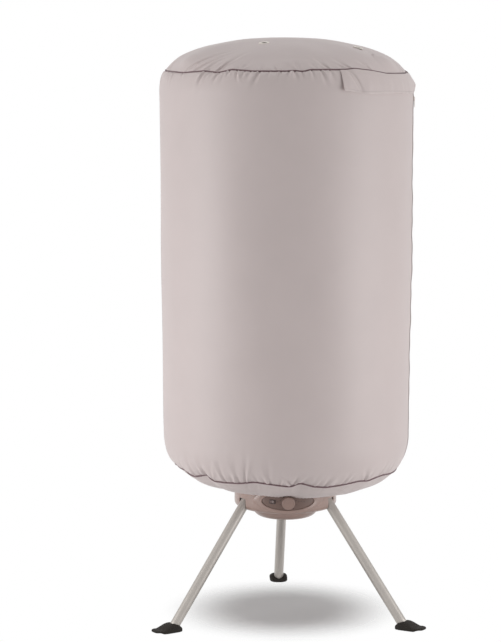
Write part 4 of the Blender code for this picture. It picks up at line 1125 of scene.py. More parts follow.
    def __post_init__(self) -> None:
        """Read both seams and the creases beside them."""
        self.top_line = SeamLine(self.camera, self.top_pixels, self.seam_top_radius,
                                 self.seam_top, self.top_waves, self.top_shift)
        self.bottom_line = SeamLine(self.camera, self.bottom_pixels, self.seam_bottom_radius,
                                    self.seam_bottom, self.bottom_waves, self.bottom_shift)
        self.creases = Creases(self.camera, self.seam_top_radius, self.seam_bottom_radius)

    def around(self) -> np.ndarray:
        """Azimuths of the cover's columns, in degrees."""
        return np.linspace(-180, 180, self.columns, endpoint=False)

    def disc_cut(self, reach: np.ndarray) -> np.ndarray:
        """UV of a disc of cloth, in metres, from its rows' distances from the middle."""
        turn = np.radians(np.linspace(-180, 180, self.columns + 1))
        return np.stack([reach * np.sin(turn), reach * np.cos(turn)], -1)

    def wall_rows(self) -> np.ndarray:
        """Distances of the wall's rows from the top seam, close together near both seams."""
        length = self.wall_length()
        rows = [0.0]
        while rows[-1] < length:
            here = rows[-1]
            near = min(here / self.rows_fine_top, (length - here) / self.rows_fine_bottom)
            growth = min(1.0, max(0.0, near - self.rows_fine_share))
            rows.append(here + self.row_fine + self.row_growth * growth)
        return np.array(rows) * length / rows[-1]

    def wall_outline(self) -> np.ndarray:
        """Radius and height down the plain wall, from the top seam to the bottom one."""
        turn = np.radians(np.linspace(0, 90, self.bend_steps))
        low = np.radians(np.linspace(0, self.corner_turn, self.bend_steps))
        top = self.seam_top - CLOTH_GAP
        bottom = self.seam_bottom + CLOTH_GAP
        bulge = self.wall_radius - self.seam_top_radius
        shoulder = np.stack([self.seam_top_radius + bulge * np.sin(turn),
                             top - self.shoulder * (1 - np.cos(turn))], 1)
        start = np.array([self.wall_radius, top - self.shoulder])
        end = np.array([self.low_radius, bottom + self.corner])
        straight = start + (end - start) * np.linspace(0, 1, self.straight_steps)[1:-1, None]
        tuck = self.low_radius - self.seam_bottom_radius
        shrink = (np.cos(low) - np.cos(low[-1])) / (1 - np.cos(low[-1]))
        corner = np.stack([self.seam_bottom_radius + tuck * shrink,
                           bottom + self.corner * (1 - np.sin(low) / np.sin(low[-1]))], 1)
        return np.vstack([shoulder, straight, corner])

    def wall_length(self) -> float:
        """Length of the wall's outline."""
        return float(walked(self.wall_outline())[-1])

    def wall_point(self, azimuth: np.ndarray, down: np.ndarray, out: Any = 0.0) -> np.ndarray:
        """Points of the wall, creased.

        Args:
            azimuth: degrees round the cover.
            down: metres from the top seam along the wall.
            out: metres outside the cloth.

        Returns:
            An array of points.
        """
        outline = self.wall_outline()
        lengths = walked(outline)
        radius = np.interp(down, lengths, outline[:, 0])
        height = np.interp(down, lengths, outline[:, 1])
        slope = np.gradient(outline, lengths, axis=0)
        lean_r = np.interp(down, lengths, -slope[:, 1])
        lean_z = np.interp(down, lengths, slope[:, 0])
        left = lengths[-1] - down
        for line, distance in ((self.top_line, down), (self.bottom_line, left)):
            share = np.clip(1 - distance / self.seam_wave_reach, 0, 1)
            height = height + line.rise(azimuth) * share ** 2
        relief = fold(self.creases.below_top(), azimuth, down, self.seam_top_radius)
        relief += fold(self.creases.above_bottom(), azimuth, left, self.seam_bottom_radius)
        plain = 1 - hump(off(azimuth, self.zip_azimuth), self.zip_calm)
        turn = np.radians(azimuth)
        middle = np.sin(math.pi * np.clip(down / lengths[-1], 0, 1))
        broad = sum(rise * np.sin(waves * turn + phase + twist * height)
                    for rise, waves, phase, twist in self.broad_waves) * middle
        fast, slow, phase = self.pucker_beats
        beat = np.sin(fast * height) * np.sin(slow * height + phase)
        pucker = self.pucker * beat * (1 - plain) * middle
        belly = self.belly * hump(height - self.belly_height, self.belly_reach)
        kept = self.zip_broad_share + (1 - self.zip_broad_share) * plain
        shift = (relief * plain + broad * kept + pucker + belly + self.dip(azimuth, height)
                 + out)
        return self.leaning(on_axis(azimuth, radius + shift * lean_r, height + shift * lean_z))

    def dip(self, azimuth: Any, height: Any) -> np.ndarray:
        """How far the cloth is drawn in over the zip's upper end, behind the flap's edge."""
        return (-self.dip_depth * hump(azimuth - self.dip_azimuth, self.dip_degrees)
                * hump(height - self.dip_height, self.dip_reach))

    def leaning(self, points: np.ndarray) -> np.ndarray:
        """Move points near the top to the left, and left ones near the bottom to the right."""
        across, height = points[..., 0], points[..., 2]
        below = np.clip((height - self.lean_from) / (self.seam_top - self.lean_from), 0, 1)
        above = np.clip((height - self.seam_top) / self.crown, 0, 1)
        across -= self.seam_lean * ease(below) + self.crown_lean * np.sin(above * math.pi / 2)
        share = np.clip(0.5 - across / self.low_lean_width, 0, 1)
        across += self.low_lean * share * hump(height - self.low_lean_height, self.low_lean_reach)
        return points

    def wall(self, name: str, start: float, end: float, flat: Pair) -> None:
        """One wall panel between two azimuths.

        Args:
            name: the node that the piece replaces, and the start of its name.
            start: first azimuth in degrees.
            end: last azimuth in degrees.
            flat: width and length that it was cut to; not used.
        """
        count = round((end - start) / 360 * self.columns) + 1
        azimuth, down = np.linspace(start, end, count)[None, :], self.wall_rows()[:, None]
        item = lattice(name + "_cloth", self.wall_point(azimuth, down),
                       cloth_cut(azimuth, down), OPEN)
        dress(item, Finish.NYLON, "dryer", "nylon", name)

    def crown_outline(self) -> np.ndarray:
        """Shares of the seam radius and of the crown height, from the seam to the centre."""
        line = through(self.crown_shares, self.crown_samples)
        line[:, 0] = np.clip(line[:, 0], self.crown_middle_share, 1.0)
        share = np.linspace(0, 1, len(line))
        fine = np.linspace(0, self.crown_fine_share, self.crown_fine_rows, endpoint=False)
        wanted = np.append(fine, np.linspace(self.crown_fine_share, 1.0, self.crown_rows))
        return np.stack([np.interp(wanted, share, line[:, k]) for k in (0, 1)], 1)

    def crown_point(self, azimuth: Any, radius_share: Any, height_share: Any,
                    out: Any = 0.0) -> np.ndarray:
        """Points of the crown, leaning a little to the left.

        Args:
            azimuth: degrees round the cover.
            radius_share: share of the seam's radius.
            height_share: share of the crown's height.
            out: metres outside the cloth.

        Returns:
            An array of points.
        """
        radius = self.seam_top_radius * radius_share
        share = np.clip(1 - (self.seam_top_radius - radius) / self.crown_wave_reach, 0, 1)
        height = self.seam_top + CLOTH_GAP + height_share * (self.crown - CLOTH_GAP)
        height = height + self.top_line.rise(azimuth) * share ** 2
        outwards = out * (self.top_outwards + (1 - self.top_outwards) * (1 - height_share))
        upwards = out * (self.seam_upwards + (1 - self.seam_upwards) * height_share)
        return self.leaning(on_axis(azimuth, radius + outwards, height + upwards))

    def dome(self) -> None:
        """The crown of the cover, with holes for the eyelets."""
        outline = self.crown_outline()
        azimuth = self.around()[None, :]
        reach, rise = outline[:, :1], outline[:, 1:]
        distance = self.seam_top_radius * walked(outline * (1, self.crown_pitch))[:, None]
        relief = fold(self.creases.above_top(), azimuth, distance, self.seam_top_radius)
        soft = np.sin(math.pi * np.clip(distance / self.crown_soft, 0, 1))
        relief += sum(depth * np.sin(waves * np.radians(azimuth) + phase)
                      for depth, waves, phase in self.crown_waves) * soft
        beside = hump(reach * self.seam_top_radius - self.arm_radius, self.arm_reach)
        held = sum(self.arm_rise * hump(off(azimuth, arm), self.arm_width) * beside
                   for arm in range(0, 360, self.arm_degrees))
        relief = np.where(held > self.arm_touch, np.maximum(relief, 0.0), relief) + held
        points = self.crown_point(azimuth, reach, rise, relief)
        cut = self.disc_cut(reach * self.seam_top_radius)
        middle = (points[:-1] + np.roll(points, -1, axis=1)[1:]) / 2
        keep = np.ones(middle.shape[:2], bool)
        for hole in self.eyelet_places():
            keep &= np.linalg.norm(middle[..., :2] - hole[:2], axis=-1) > self.eyelet_hole
        item = lattice("cover_dome_cloth", points, cut, flip=True, keep=keep)
        dress(item, Finish.NYLON, "dryer", "nylon", "cover_dome")

    def eyelet_places(self) -> list[np.ndarray]:
        """Where the four vent eyelets sit on the crown."""
        outline = self.crown_outline()
        return [self.crown_point(azimuth, share, np.interp(-share, -outline[:, 0], outline[:, 1]))
                for azimuth, share in zip(self.eyelet_azimuths, self.eyelet_shares)]

    def eyelets(self) -> None:
        """The four pressed vent eyelets, each lying in the crown's slope."""
        outline = self.crown_outline()
        rows = zip(self.eyelet_azimuths, self.eyelet_shares, self.eyelet_places())
        for number, (azimuth, share, place) in enumerate(rows, 1):
            at = int(np.interp(-share, -outline[:, 0], np.arange(len(outline))))
            near, far = outline[at - 2], outline[at + 3]
            fall = (far[1] - near[1]) * self.crown / ((near[0] - far[0]) * self.seam_top_radius)
            turn = math.radians(azimuth)
            axis = Vector((math.sin(turn) * fall, -math.cos(turn) * fall, 1.0)).normalized()
            ring = lathe(f"eyelet_{number}", self.eyelet_profile, self.eyelet_steps, place,
                         axis)
            dress(ring, Finish.EYELET, "dryer", "eyelet", f"vent_eyelet_{number}")

    def hem_line(self, azimuth: Any) -> tuple[np.ndarray, np.ndarray]:
        """Radius and height of the hem.

        It climbs on to the bezel in front, leans to one side and lifts over the knob.

        Args:
            azimuth: degrees round the cover.

        Returns:
            The radii and the heights.
        """
        away = off(azimuth)
        climb = np.clip((self.climb_start - np.abs(away) / self.bezel_degrees)
                        / self.climb_share, 0, 1)
        lift = self.hem_lift * hump(away, self.hem_lift_degrees)
        return (self.hem_radius + self.hem_climb * ease(climb),
                self.hem_level - self.hem_lean * np.sin(np.radians(away)) + lift)

    def bottom(self) -> None:
        """The bottom panel, drawn in by the elastic in its hem."""
        azimuth = self.around()[None, :]
        outline = through(self.panel_shares, self.panel_rows)
        inward, drop = outline[:, :1], np.clip(outline[:, 1:], 0, 1)
        end, low = self.hem_line(azimuth)
        radius = self.seam_bottom_radius
        radius = radius + (end + self.panel_lap - radius) * inward
        start = self.seam_bottom - CLOTH_GAP + self.bottom_line.rise(azimuth)
        turn = np.radians(azimuth)
        near_hem = np.exp(-((1 - inward) / self.panel_gather_reach))
        coarse, fine = self.panel_gathers
        sway, sways = self.gather_sway
        gather = (coarse * np.sin(self.hem_gathers * turn + sway * np.sin(sways * turn))
                  + fine * np.sin(self.fine_gathers * turn)) * near_hem
        relief = fold(self.creases.below_bottom(), azimuth, inward * self.panel_length,
                      self.seam_bottom_radius)
        height = low + drop * (start - low) - gather - relief
        points = self.leaning(on_axis(azimuth, radius, height))
        cut = self.disc_cut(self.seam_bottom_radius - self.panel_cut * inward)
        item = lattice("cover_bottom_cloth", points, cut)
        dress(item, Finish.NYLON, "dryer", "nylon", "cover_bottom")
        turn = self.around()
        bead = self.hem_bead + self.hem_gather * np.sin(np.radians(turn * self.hem_gathers))
        path = self.leaning(on_axis(turn, *self.hem_line(turn)))
        hem = sweep("cover_hem", path, bead, self.bead_sides, closed=True)
        dress(hem, Finish.NYLON, "dryer", "nylon", "hem_elastic")

    def pipings(self) -> None:
        """The two piped seams."""
        turn = self.around()
        bead = self.piping * (1 + self.piping_swell * np.sin(np.radians(turn * self.piping_swells)))
        for node, line in (("top_piping", self.top_line), ("bottom_piping", self.bottom_line)):
            radius, height = line.radius + self.piping_out, line.level + line.rise(turn)
            path = self.leaning(on_axis(turn, radius, height))
            item = sweep(node + "_bead", path, bead, self.bead_sides, closed=True)
            dress(item, Finish.PIPING, "dryer", "piping", node)

    def stitch_down(self, name: str, azimuth: float, start: float) -> None:
        """A row of stitches down the wall at one azimuth.

        Args:
            name: the piece's name.
            azimuth: degrees round the cover.
            start: metres from the top seam where it starts.
        """
        down = np.arange(start, self.wall_length() - self.stitch_end, self.stitch_pitch)
        turn = np.full_like(down, azimuth)
        centres = self.wall_point(turn, down, self.stitch_out)
        along = units(np.gradient(centres, axis=0))
        out = units(centres - self.wall_point(turn, down, -self.stitch_depth))
        thread = beads(name, centres, along, out, self.stitch)
        dress(thread, Finish.THREAD, "dryer", "nylon")

    def build(self) -> None:
        """Build the cover without its flap and its side seam."""
        self.pipings()
        self.wall("cover_front", self.seam_azimuth, self.zip_azimuth, (0.911, 0.953))
        self.wall("cover_back", self.zip_azimuth, self.seam_azimuth + 360, (0.974, 0.953))
        self.dome()
        self.eyelets()
        self.bottom()


@dataclass(frozen=True)
class Flap:
    """Storm flap over the zip's upper end, with a turned and stitched lower edge."""

    cover: Cover
    start: float = 22.0
    end: float = 97.0
    drop: float = 0.0495
    arc_height: float = 0.0519
    arc_start: float = 15.0
    arc: float = 75.0
    columns: int = 260
    rows: int = 34
    stand: float = 0.0020
    flare: float = 0.0008
    bulge: float = 0.0076
    bulge_azimuth: float = 90.0
    bulge_degrees: float = 8.0
    bulge_power: float = 3.0
    crease: float = 0.0062
    crease_azimuth: float = 25.1
    crease_lean: float = 6.6
    crease_degrees: float = 1.15
    crease_power: float = 0.7
    tuck: float = 0.0021
    tuck_azimuth: float = 91.0
    tuck_power: int = 8
    end_kick: float = 0.0050
    end_kick_degrees: float = 1.8
    kick_power: int = 3
    dip_power: int = 6
    start_lift: float = 0.0080
    start_lift_degrees: float = 7.5
    side_lift: float = 0.0055
    side_lift_azimuth: float = 93.0
    # depth in metres, waves for each degree or turn, phase
    waves: tuple[Triple, ...] = ((0.0007, 0.55, 1.0), (0.0004, 1.3, 0.0))
    sag: float = 0.0010
    sag_waves: float = 9.0
    turned_edge: float = 0.012
    turned_thickness: float = 0.00088
    turned_rows: int = 6
    inside: float = 0.0018
    inner_rows: Pair = (0.98, 0.80)
    cut_column: int = 100
    stitch_row: float = 0.925
    stitch_pitch: float = 0.62
    stitch_ends: Pair = (0.6, 0.4)
    stitch_out: float = 0.0001
    stitch_depth: float = 0.002
    stitch: Triple = (0.00125, 0.00032, 0.00028)

    def point(self, azimuth: Any, row: Any, out: Any = 0.0) -> np.ndarray:
        """Points of the flap.

        Args:
            azimuth: degrees round the cover.
            row: share of the way from the seam to the lower edge.
            out: metres outside the cloth.

        Returns:
            An array of points.
        """
        cover = self.cover
        inner_row = np.clip(row, 0, 1)
        bulge = (hump(azimuth - self.bulge_azimuth, self.bulge_degrees)
                 * np.sin(math.pi * inner_row ** self.bulge_power))
        crease = (hump(azimuth - self.crease_azimuth - self.crease_lean * row, self.crease_degrees)
                  * np.sin(math.pi * inner_row) ** self.crease_power)
        tuck = hump(azimuth - self.tuck_azimuth, self.bulge_degrees) * row ** self.tuck_power
        kick = hump(azimuth - self.start, self.end_kick_degrees) * row ** self.kick_power
        wave = sum(depth * np.sin(azimuth * waves + phase) for depth, waves, phase in self.waves)
        stand = (self.stand + self.flare * row + self.bulge * bulge - self.crease * crease
                 - self.tuck * tuck + wave * row + self.end_kick * kick + out)
        lift = self.start_lift * hump(azimuth - self.start, self.start_lift_degrees)
        lift = lift + self.side_lift * hump(azimuth - self.side_lift_azimuth, self.bulge_degrees)
        sag = self.sag * np.sin(np.radians(azimuth * self.sag_waves)) * row + lift * row ** 2
        turn = np.radians(self.arc_start + self.arc * row)
        top = cover.seam_top - CLOTH_GAP + cover.top_line.rise(azimuth) * (1 - row)
        height = top - self.drop + self.arc_height * np.cos(turn) + sag
        stand = stand + cover.dip(azimuth, height) * inner_row ** self.dip_power
        bulge_out = cover.wall_radius - cover.seam_top_radius + stand
        reach = cover.seam_top_radius + bulge_out * np.sin(turn)
        return cover.leaning(on_axis(azimuth, reach, height))

    def build(self) -> None:
        """Build the flap and its row of stitches."""
        azimuth = np.linspace(self.start, self.end, self.columns)[None, :]
        outer = self.point(azimuth, np.linspace(0.0, 1.0, self.rows)[:, None])
        edge = [self.point(azimuth, 1.0 + self.turned_edge * math.sin(turn),
                           self.turned_thickness * (math.cos(turn) - 1))
                for turn in np.radians(np.linspace(30, 180, self.turned_rows))]
        inner = [self.point(azimuth, row, -self.inside)
                 for row in np.linspace(*self.inner_rows, self.turned_rows)]
        points = np.concatenate([outer, *edge, *inner])
        down = walked(points[:, self.cut_column])[:, None]
        item = lattice("zip_flap_cloth", points, cloth_cut(azimuth, down), OPEN)
        dress(item, Finish.NYLON, "dryer", "nylon", "zip_flap")
        turn = np.arange(self.start + self.stitch_ends[0], self.end - self.stitch_ends[1],
                         self.stitch_pitch)
        line = self.point(turn, self.stitch_row, self.stitch_out)
        out = units(line - self.point(turn, self.stitch_row, -self.stitch_depth))
        thread = beads("flap_stitches", line, units(np.gradient(line, axis=0)), out, self.stitch)
        dress(thread, Finish.THREAD, "dryer", "nylon")


@dataclass(frozen=True)
class SideSeam:
    """Plain seam down the cover's left side: a row of stitches on each side of the join."""

    cover: Cover
    beside: float = 0.7
    start: float = 0.006

    def build(self) -> None:
        """Build both rows."""
        for number, side in enumerate((-1, 1), 1):
            azimuth = self.cover.seam_azimuth + side * self.beside
            self.cover.stitch_down(f"left_seam_stitches_{number}", azimuth, self.start)


@dataclass(frozen=True)
class Zip:
    """Coil zip down the cover's right side, and its slider."""

    cover: Cover
    top: float = 1.272
    half_tape: float = 2.4
    tape_step: float = 0.0035
    tape_end: float = 0.002
    coil_end: float = 0.003
    # shares of the tape's half width, and how far the cloth stands out there
    tape_shares: tuple[Pair, ...] = (
        (-1.0, 0.0001), (-0.96, 0.0008), (-0.5, 0.0010), (-0.14, 0.0010), (-0.12, 0.0006),
        (0.12, 0.0006), (0.14, 0.0010), (0.5, 0.0010), (0.96, 0.0008), (1.0, 0.0001))
    pitch: float = 0.0022
    coil_beside: float = 0.11
    coil_out: float = 0.0013
    coil_bead: Triple = (0.0011, 0.00075, 0.0007)
    stitch_beside: float = 1.9
    end_gap: float = 0.004

    slider: float = 1.250
    slider_radius: float = 0.3016
    slider_outline: tuple[Pair, ...] = (
        (-0.0060, 0.0045), (-0.0035, 0.0047), (0.0, 0.0041), (0.0030, 0.0032),
        (0.0056, 0.0030), (0.0060, 0.0024))
    slider_layers: tuple[Pair, ...] = (
        (-0.0010, 0.9), (-0.0006, 1.0), (0.0007, 1.0), (0.0012, 0.86))
    bridge_rod: float = 0.0006
    bridge_base: float = 0.0011
    bridge_rise: float = 0.0014
    bridge_half: float = 0.0034
    bridge_steps: int = 12
    pull_half: Pair = (0.0090, 0.0026)
    pull_out: float = 0.0019
    pull_drop: float = 0.0115
    pull_sides: int = 28
    pull_square: float = 0.6
    pull_taper: float = 0.06
    pull_layers: tuple[Pair, ...] = (
        (-0.0006, 0.86), (-0.0003, 1.0), (0.0003, 1.0), (0.0006, 0.86))

    def tapes(self) -> None:
        """The two woven tapes with the coil between them, and their stitches."""
        cover, middle = self.cover, self.cover.zip_azimuth
        start = cover.seam_top - self.top
        down = np.arange(start, cover.wall_length() - self.tape_end, self.tape_step)[:, None]
        share, stand = np.array(self.tape_shares).T
        azimuth = (middle + share * self.half_tape)[None, :]
        points = cover.wall_point(azimuth, down, stand[None, :])
        tapes = lattice("zip_tapes", points, cloth_cut(azimuth, down), OPEN)
        dress(tapes, Finish.ZIP_TAPE, "dryer", "zip", "zip_tape")
        for number, side in enumerate((-1, 1), 1):
            first = start + self.end_gap + (side + 1) * self.pitch / 4
            down = np.arange(first, cover.wall_length() - self.coil_end, self.pitch)
            turn = np.full_like(down, middle + side * self.coil_beside)
            teeth = cover.wall_point(turn, down, self.coil_out)
            out = units(teeth - on_axis(middle, 0.0, teeth[:, 2]))
            along = units(np.cross(out, UP))
            coil = beads(f"zip_coil_{number}", teeth, along, out, self.coil_bead)
            dress(coil, Finish.ZIP_TAPE, "dryer", "zip")
            cover.stitch_down(f"zip_stitches_{number}", middle + side * self.stitch_beside,
                              start + self.end_gap)

    def slide(self) -> None:
        """The slider's body, its bridge and its hanging pull."""
        azimuth, metal = self.cover.zip_azimuth, (Finish.ZIP_METAL, "zip_slider", "zip_metal")
        centre = self.cover.leaning(on_axis(azimuth, self.slider_radius, self.slider))
        out = on_axis(azimuth, 1.0, 0.0) - on_axis(azimuth, 0.0, 0.0)
        along = -np.array(UP)
        across = np.cross(along, out)
        half = np.array(self.slider_outline)
        rim = np.concatenate([half, half[::-1] * (1, -1)])
        flat = along * rim[:, :1] + across * rim[:, 1:]
        layers = [centre + out * depth + flat * share for depth, share in self.slider_layers]
        body = face_out(lattice("slider_body", np.array(layers), ends=True))
        dress(body, *metal, "zip_slider")
        turn = np.linspace(0, math.pi, self.bridge_steps)[:, None]
        bridge = (centre + out * (self.bridge_base + self.bridge_rise * np.sin(turn))
                  + along * (self.bridge_half * np.cos(turn)))
        dress(sweep("slider_bridge", bridge, self.bridge_rod), *metal)
        hang = centre + out * self.pull_out + along * self.pull_drop
        turn = full_turn(self.pull_sides)[:, None]
        layers = []
        for depth, share in self.pull_layers:
            length = self.pull_half[0] * np.cos(turn) * (1 - self.pull_taper * (1 - share))
            width = self.pull_half[1] * signed_power(np.sin(turn), self.pull_square) * share
            layers.append(hang + out * depth + along * length + across * width)
        pull = face_out(lattice("slider_pull", np.array(layers), ends=True))
        dress(pull, *metal)

    def build(self) -> None:
        """Build the zip."""
        self.tapes()
        self.slide()


@dataclass(frozen=True)
class HeaterBase:
    """Drum, bowl, bezel, panel, timer knob and rocker."""

    drum: float = 0.1235
    wall: float = 0.0025
    drum_heights: tuple[float, ...] = (0.338, 0.330, 0.318, 0.306, 0.298, 0.290)
    drum_step: float = 3.0
    underside: float = 0.270
    underside_radii: Triple = (0.1075, 0.100, 0.093)
    corner: float = 0.012
    corner_steps: int = 9
    slot_half: float = 0.0139
    slot_top: float = 0.298
    slot_margin: float = 0.8
    slot_columns: Four = (-1.0, -1 / 3, 1 / 3, 1.0)
    edge: float = 0.0006
    edge_angle: float = 50.0

    # radius and height of the flat ring round the bowl, and of the bowl's lip
    bowl_ring: tuple[Pair, ...] = (
        (0.1112, 0.2693), (0.1040, 0.2693), (0.0945, 0.2693), (0.0835, 0.2693), (0.0812, 0.2688))
    bowl_lip: Pair = (0.0508, 0.2438)
    bowl_step: float = 2.5
    bowl_slots_from: float = 0.0940
    dish_centre: Pair = (0.055, 0.2690)
    dish_size: Pair = (0.0255, 0.0252)
    dish_turn: Pair = (4.0, 90.0)
    dish_steps: int = 20

    control: float = 0.301
    bezel: Pair = (0.0835, 0.0287)
    bezel_steps: int = 160
    # share of the way from the panel's edge to the bezel's, and radius from the cover's axis
    bezel_profile: tuple[Pair, ...] = (
        (1.00, 0.1232), (1.00, 0.1240), (0.985, 0.1254), (0.95, 0.1264), (0.90, 0.1269),
        (0.5, 0.1270), (0.10, 0.1270), (0.03, 0.1268), (0.00, 0.1262), (0.00, 0.1240))
    panel: Pair = (0.062, 0.020)
    panel_steps: int = 120
    panel_profile: tuple[Pair, ...] = (
        (0.995, 0.1240), (0.985, 0.1254), (0.97, 0.1257), (0.93, 0.1258), (0.80, 0.1258),
        (0.60, 0.1258), (0.40, 0.1258), (0.20, 0.1258), (0.04, 0.1258))
    tick_radius: float = 0.12585
    tick_size: Triple = (0.0016, 0.0005, 0.00012)
    tick_angles: tuple[float, ...] = (-128, -105, -75, -50, 15, 165, -165, -15, 128, 52)
    tick_circle: Pair = (0.0192, 0.0182)
    tick_drop: float = 0.001
    tick_inside: float = 0.86
    dash_places: Four = (-0.0245, 0.0245, 0.031, 0.0375)
    dash_height: float = 0.0006

    knob_height: float = 0.300
    knob_steps: int = 96
    # radius, and distance in front of the cover's axis
    knob_profile: tuple[Pair, ...] = (
        (0.0030, 0.1180), (0.0030, 0.1262), (0.0148, 0.1262), (0.0154, 0.1266),
        (0.0155, 0.1275), (0.0154, 0.1360), (0.0150, 0.1373), (0.0142, 0.1379),
        (0.0128, 0.1381), (0.0112, 0.1378), (0.0060, 0.1375), (0.0010, 0.1374))

    rocker_azimuth: float = -17.5
    rocker_rise: float = 0.0005
    rocker_half: Pair = (0.0078, 0.0048)
    rocker_rim: float = 0.0080
    rocker_square: float = 0.32
    rocker_steps: int = 60
    rocker_profile: tuple[Pair, ...] = (
        (1.0, 0.1240), (1.0, 0.1263), (0.97, 0.1266), (0.86, 0.1266), (0.83, 0.1263),
        (0.83, 0.1240))
    rocker_bevel: float = 0.0003

    def slotted_shell(self, name: str, outline: np.ndarray, step: float,
                      cut: np.ndarray) -> bpy.types.Object:
        """A turned wall with the three leg slots left out of it.

        Args:
            name: the piece's name.
            outline: radius and height along the wall's outside.
            step: degrees between its columns.
            cut: which spans of the outline the slots go through.

        Returns:
            The piece.
        """
        half = math.degrees(math.asin(self.slot_half / self.drum))
        azimuth = np.arange(-180, 180, step)
        for _, leg in LEGS:
            azimuth = azimuth[np.abs(off(azimuth, leg)) >= half + self.slot_margin]
            azimuth = np.append(azimuth, leg + half * np.array(self.slot_columns))
        turn = np.sort(off(azimuth))
        points = on_axis(turn[None, :], outline[:, :1], outline[:, 1:])
        middle = (turn + np.append(turn[1:], turn[0] + 360)) / 2
        in_slot = np.any([np.abs(off(middle, leg)) < half for _, leg in LEGS], axis=0)
        item = lattice(name, points, keep=~(cut[:, None] & in_slot[None, :]))
        thick = item.modifiers.new("wall", "SOLIDIFY")
        thick.thickness = self.wall
        thick.offset = -1.0
        soften(item, self.edge, self.edge_angle)
        return item

    def drum_shell(self) -> None:
        """The drum, with a rounded lower edge and the three leg slots."""
        turn = np.radians(np.linspace(90, 0, self.corner_steps))
        corner = np.stack([self.drum - self.corner * (1 - np.sin(turn)),
                           self.underside + self.corner * (1 - np.cos(turn))], 1)
        side = [(self.drum, height) for height in self.drum_heights]
        under = [(radius, self.underside) for radius in self.underside_radii]
        outline = np.vstack([side, corner, under])
        cut = (outline[:-1, 1] + outline[1:, 1]) / 2 < self.slot_top
        item = self.slotted_shell("drum_shell", outline, self.drum_step, cut)
        dress(item, Finish.SHELL, "dryer", "shell", "base_upper_shell")

    def bowl(self) -> None:
        """The lower shell: a slotted flat ring under the drum, and a dished bowl inside it."""
        turn = np.radians(np.linspace(*self.dish_turn, self.dish_steps))
        dish = np.stack([self.dish_centre[0] + self.dish_size[0] * np.cos(turn),
                         self.dish_centre[1] - self.dish_size[1] * np.sin(turn)], 1)
        outline = np.vstack([self.bowl_ring, dish, self.bowl_lip])
        cut = outline[1:, 0] > self.bowl_slots_from
        item = self.slotted_shell("bowl_shell", outline, self.bowl_step, cut)
        dress(item, Finish.LOWER, "dryer", "shell", "base_lower_shell")

    def wrapped(self, across: Any, up: Any, radius: Any) -> np.ndarray:
        """Points on a cylinder round the axis, placed as they are seen from the front.

        Args:
            across: metres to the right of the middle.
            up: metres over the controls' middle.
            radius: the cylinder's radius.

        Returns:
            An array of points, of the arguments' joint shape.
        """
        across, up, radius = np.broadcast_arrays(across, up, radius)
        depth = np.sqrt(radius ** 2 - across ** 2)
        return np.stack([across, AXIS_Y - depth, self.control + up], axis=-1)

    def bezel_ring(self) -> None:
        """The pillowed oval frame round the panel."""
        turn = full_turn(self.bezel_steps)[None, :]
        profile = np.array(self.bezel_profile)
        share, radius = profile[:, :1], profile[:, 1:]
        wide = self.panel[0] + (self.bezel[0] - self.panel[0]) * share
        tall = self.panel[1] + (self.bezel[1] - self.panel[1]) * share
        points = self.wrapped(wide * np.cos(turn), tall * np.sin(turn), radius)
        item = face_out(lattice("bezel_ring", points, flip=True))
        dress(item, Finish.SHELL, "dryer", "shell", "control_bezel")

    def panel_face(self) -> None:
        """The brown oval panel."""
        turn = full_turn(self.panel_steps)[None, :]
        profile = np.array(self.panel_profile)
        share, radius = profile[:, :1], profile[:, 1:]
        points = self.wrapped(self.panel[0] * share * np.cos(turn),
                              self.panel[1] * share * np.sin(turn), radius)
        item = face_out(lattice("panel_face", points, flip=True, ends=True))
        dress(item, Finish.PANEL, "dryer", "panel", "control_panel")

    def ticks(self) -> None:
        """The printed marks round the knob, where the panel reaches, and beside it."""
        places, along = [], []
        for turn in np.radians(self.tick_angles):
            across = self.tick_circle[0] * math.cos(turn)
            up = self.tick_circle[1] * math.sin(turn) - self.tick_drop
            if (across / self.panel[0]) ** 2 + (up / self.panel[1]) ** 2 < self.tick_inside:
                places.append((across, up))
                along.append((math.cos(turn), 0.0, math.sin(turn)))
        places += [(across, self.dash_height) for across in self.dash_places]
        along += [(1.0, 0.0, 0.0)] * len(self.dash_places)
        centres = self.wrapped(*np.array(places).T, self.tick_radius)
        out = units((centres - (0.0, AXIS_Y, 0.0)) * (1.0, 1.0, 0.0))
        ticks = beads("panel_ticks", centres, np.array(along), out, self.tick_size)
        dress(ticks, Finish.PRINT, "dryer", "panel")

    def knob(self) -> None:
        """The timer knob: a plain disc with a rounded edge and a shallow grip."""
        item = lathe("knob_disc", self.knob_profile, self.knob_steps,
                     (0.0, AXIS_Y, self.knob_height), (0.0, -1.0, 0.0), ends=True)
        dress(item, Finish.KNOB, "timer_knob", "knob", "timer_knob")

    def rocker(self) -> None:
        """The frame of the mains rocker, dark as painted shade for the shadow gap round the rocker;
        the rocker itself is its CAD solid.
        """
        middle = self.drum * math.sin(math.radians(self.rocker_azimuth))
        turn = full_turn(self.rocker_steps)[None, :]
        wide = signed_power(np.cos(turn), self.rocker_square)
        tall = signed_power(np.sin(turn), self.rocker_square)
        profile = np.array(self.rocker_profile)
        share, radius = profile[:, :1], profile[:, 1:]
        inset = (1 - share) * self.rocker_rim
        points = self.wrapped(middle + wide * (self.rocker_half[0] - inset),
                              self.rocker_rise + tall * (self.rocker_half[1] - inset), radius)
        item = face_out(lattice("rocker_frame", points))
        # painted shade: the frame's dark finish stands in for the shadow in the gap round the
        # rocker
        dress(item, Finish.DARK, "dryer", "dark_plastic", "switch_frame")
        refinish("power_rocker", Finish.ROCKER, self.rocker_bevel)

    def build(self) -> None:
        """Build the base and its controls."""
        self.drum_shell()
        self.bowl()
        self.bezel_ring()
        self.panel_face()
        self.ticks()
        self.knob()
        self.rocker()


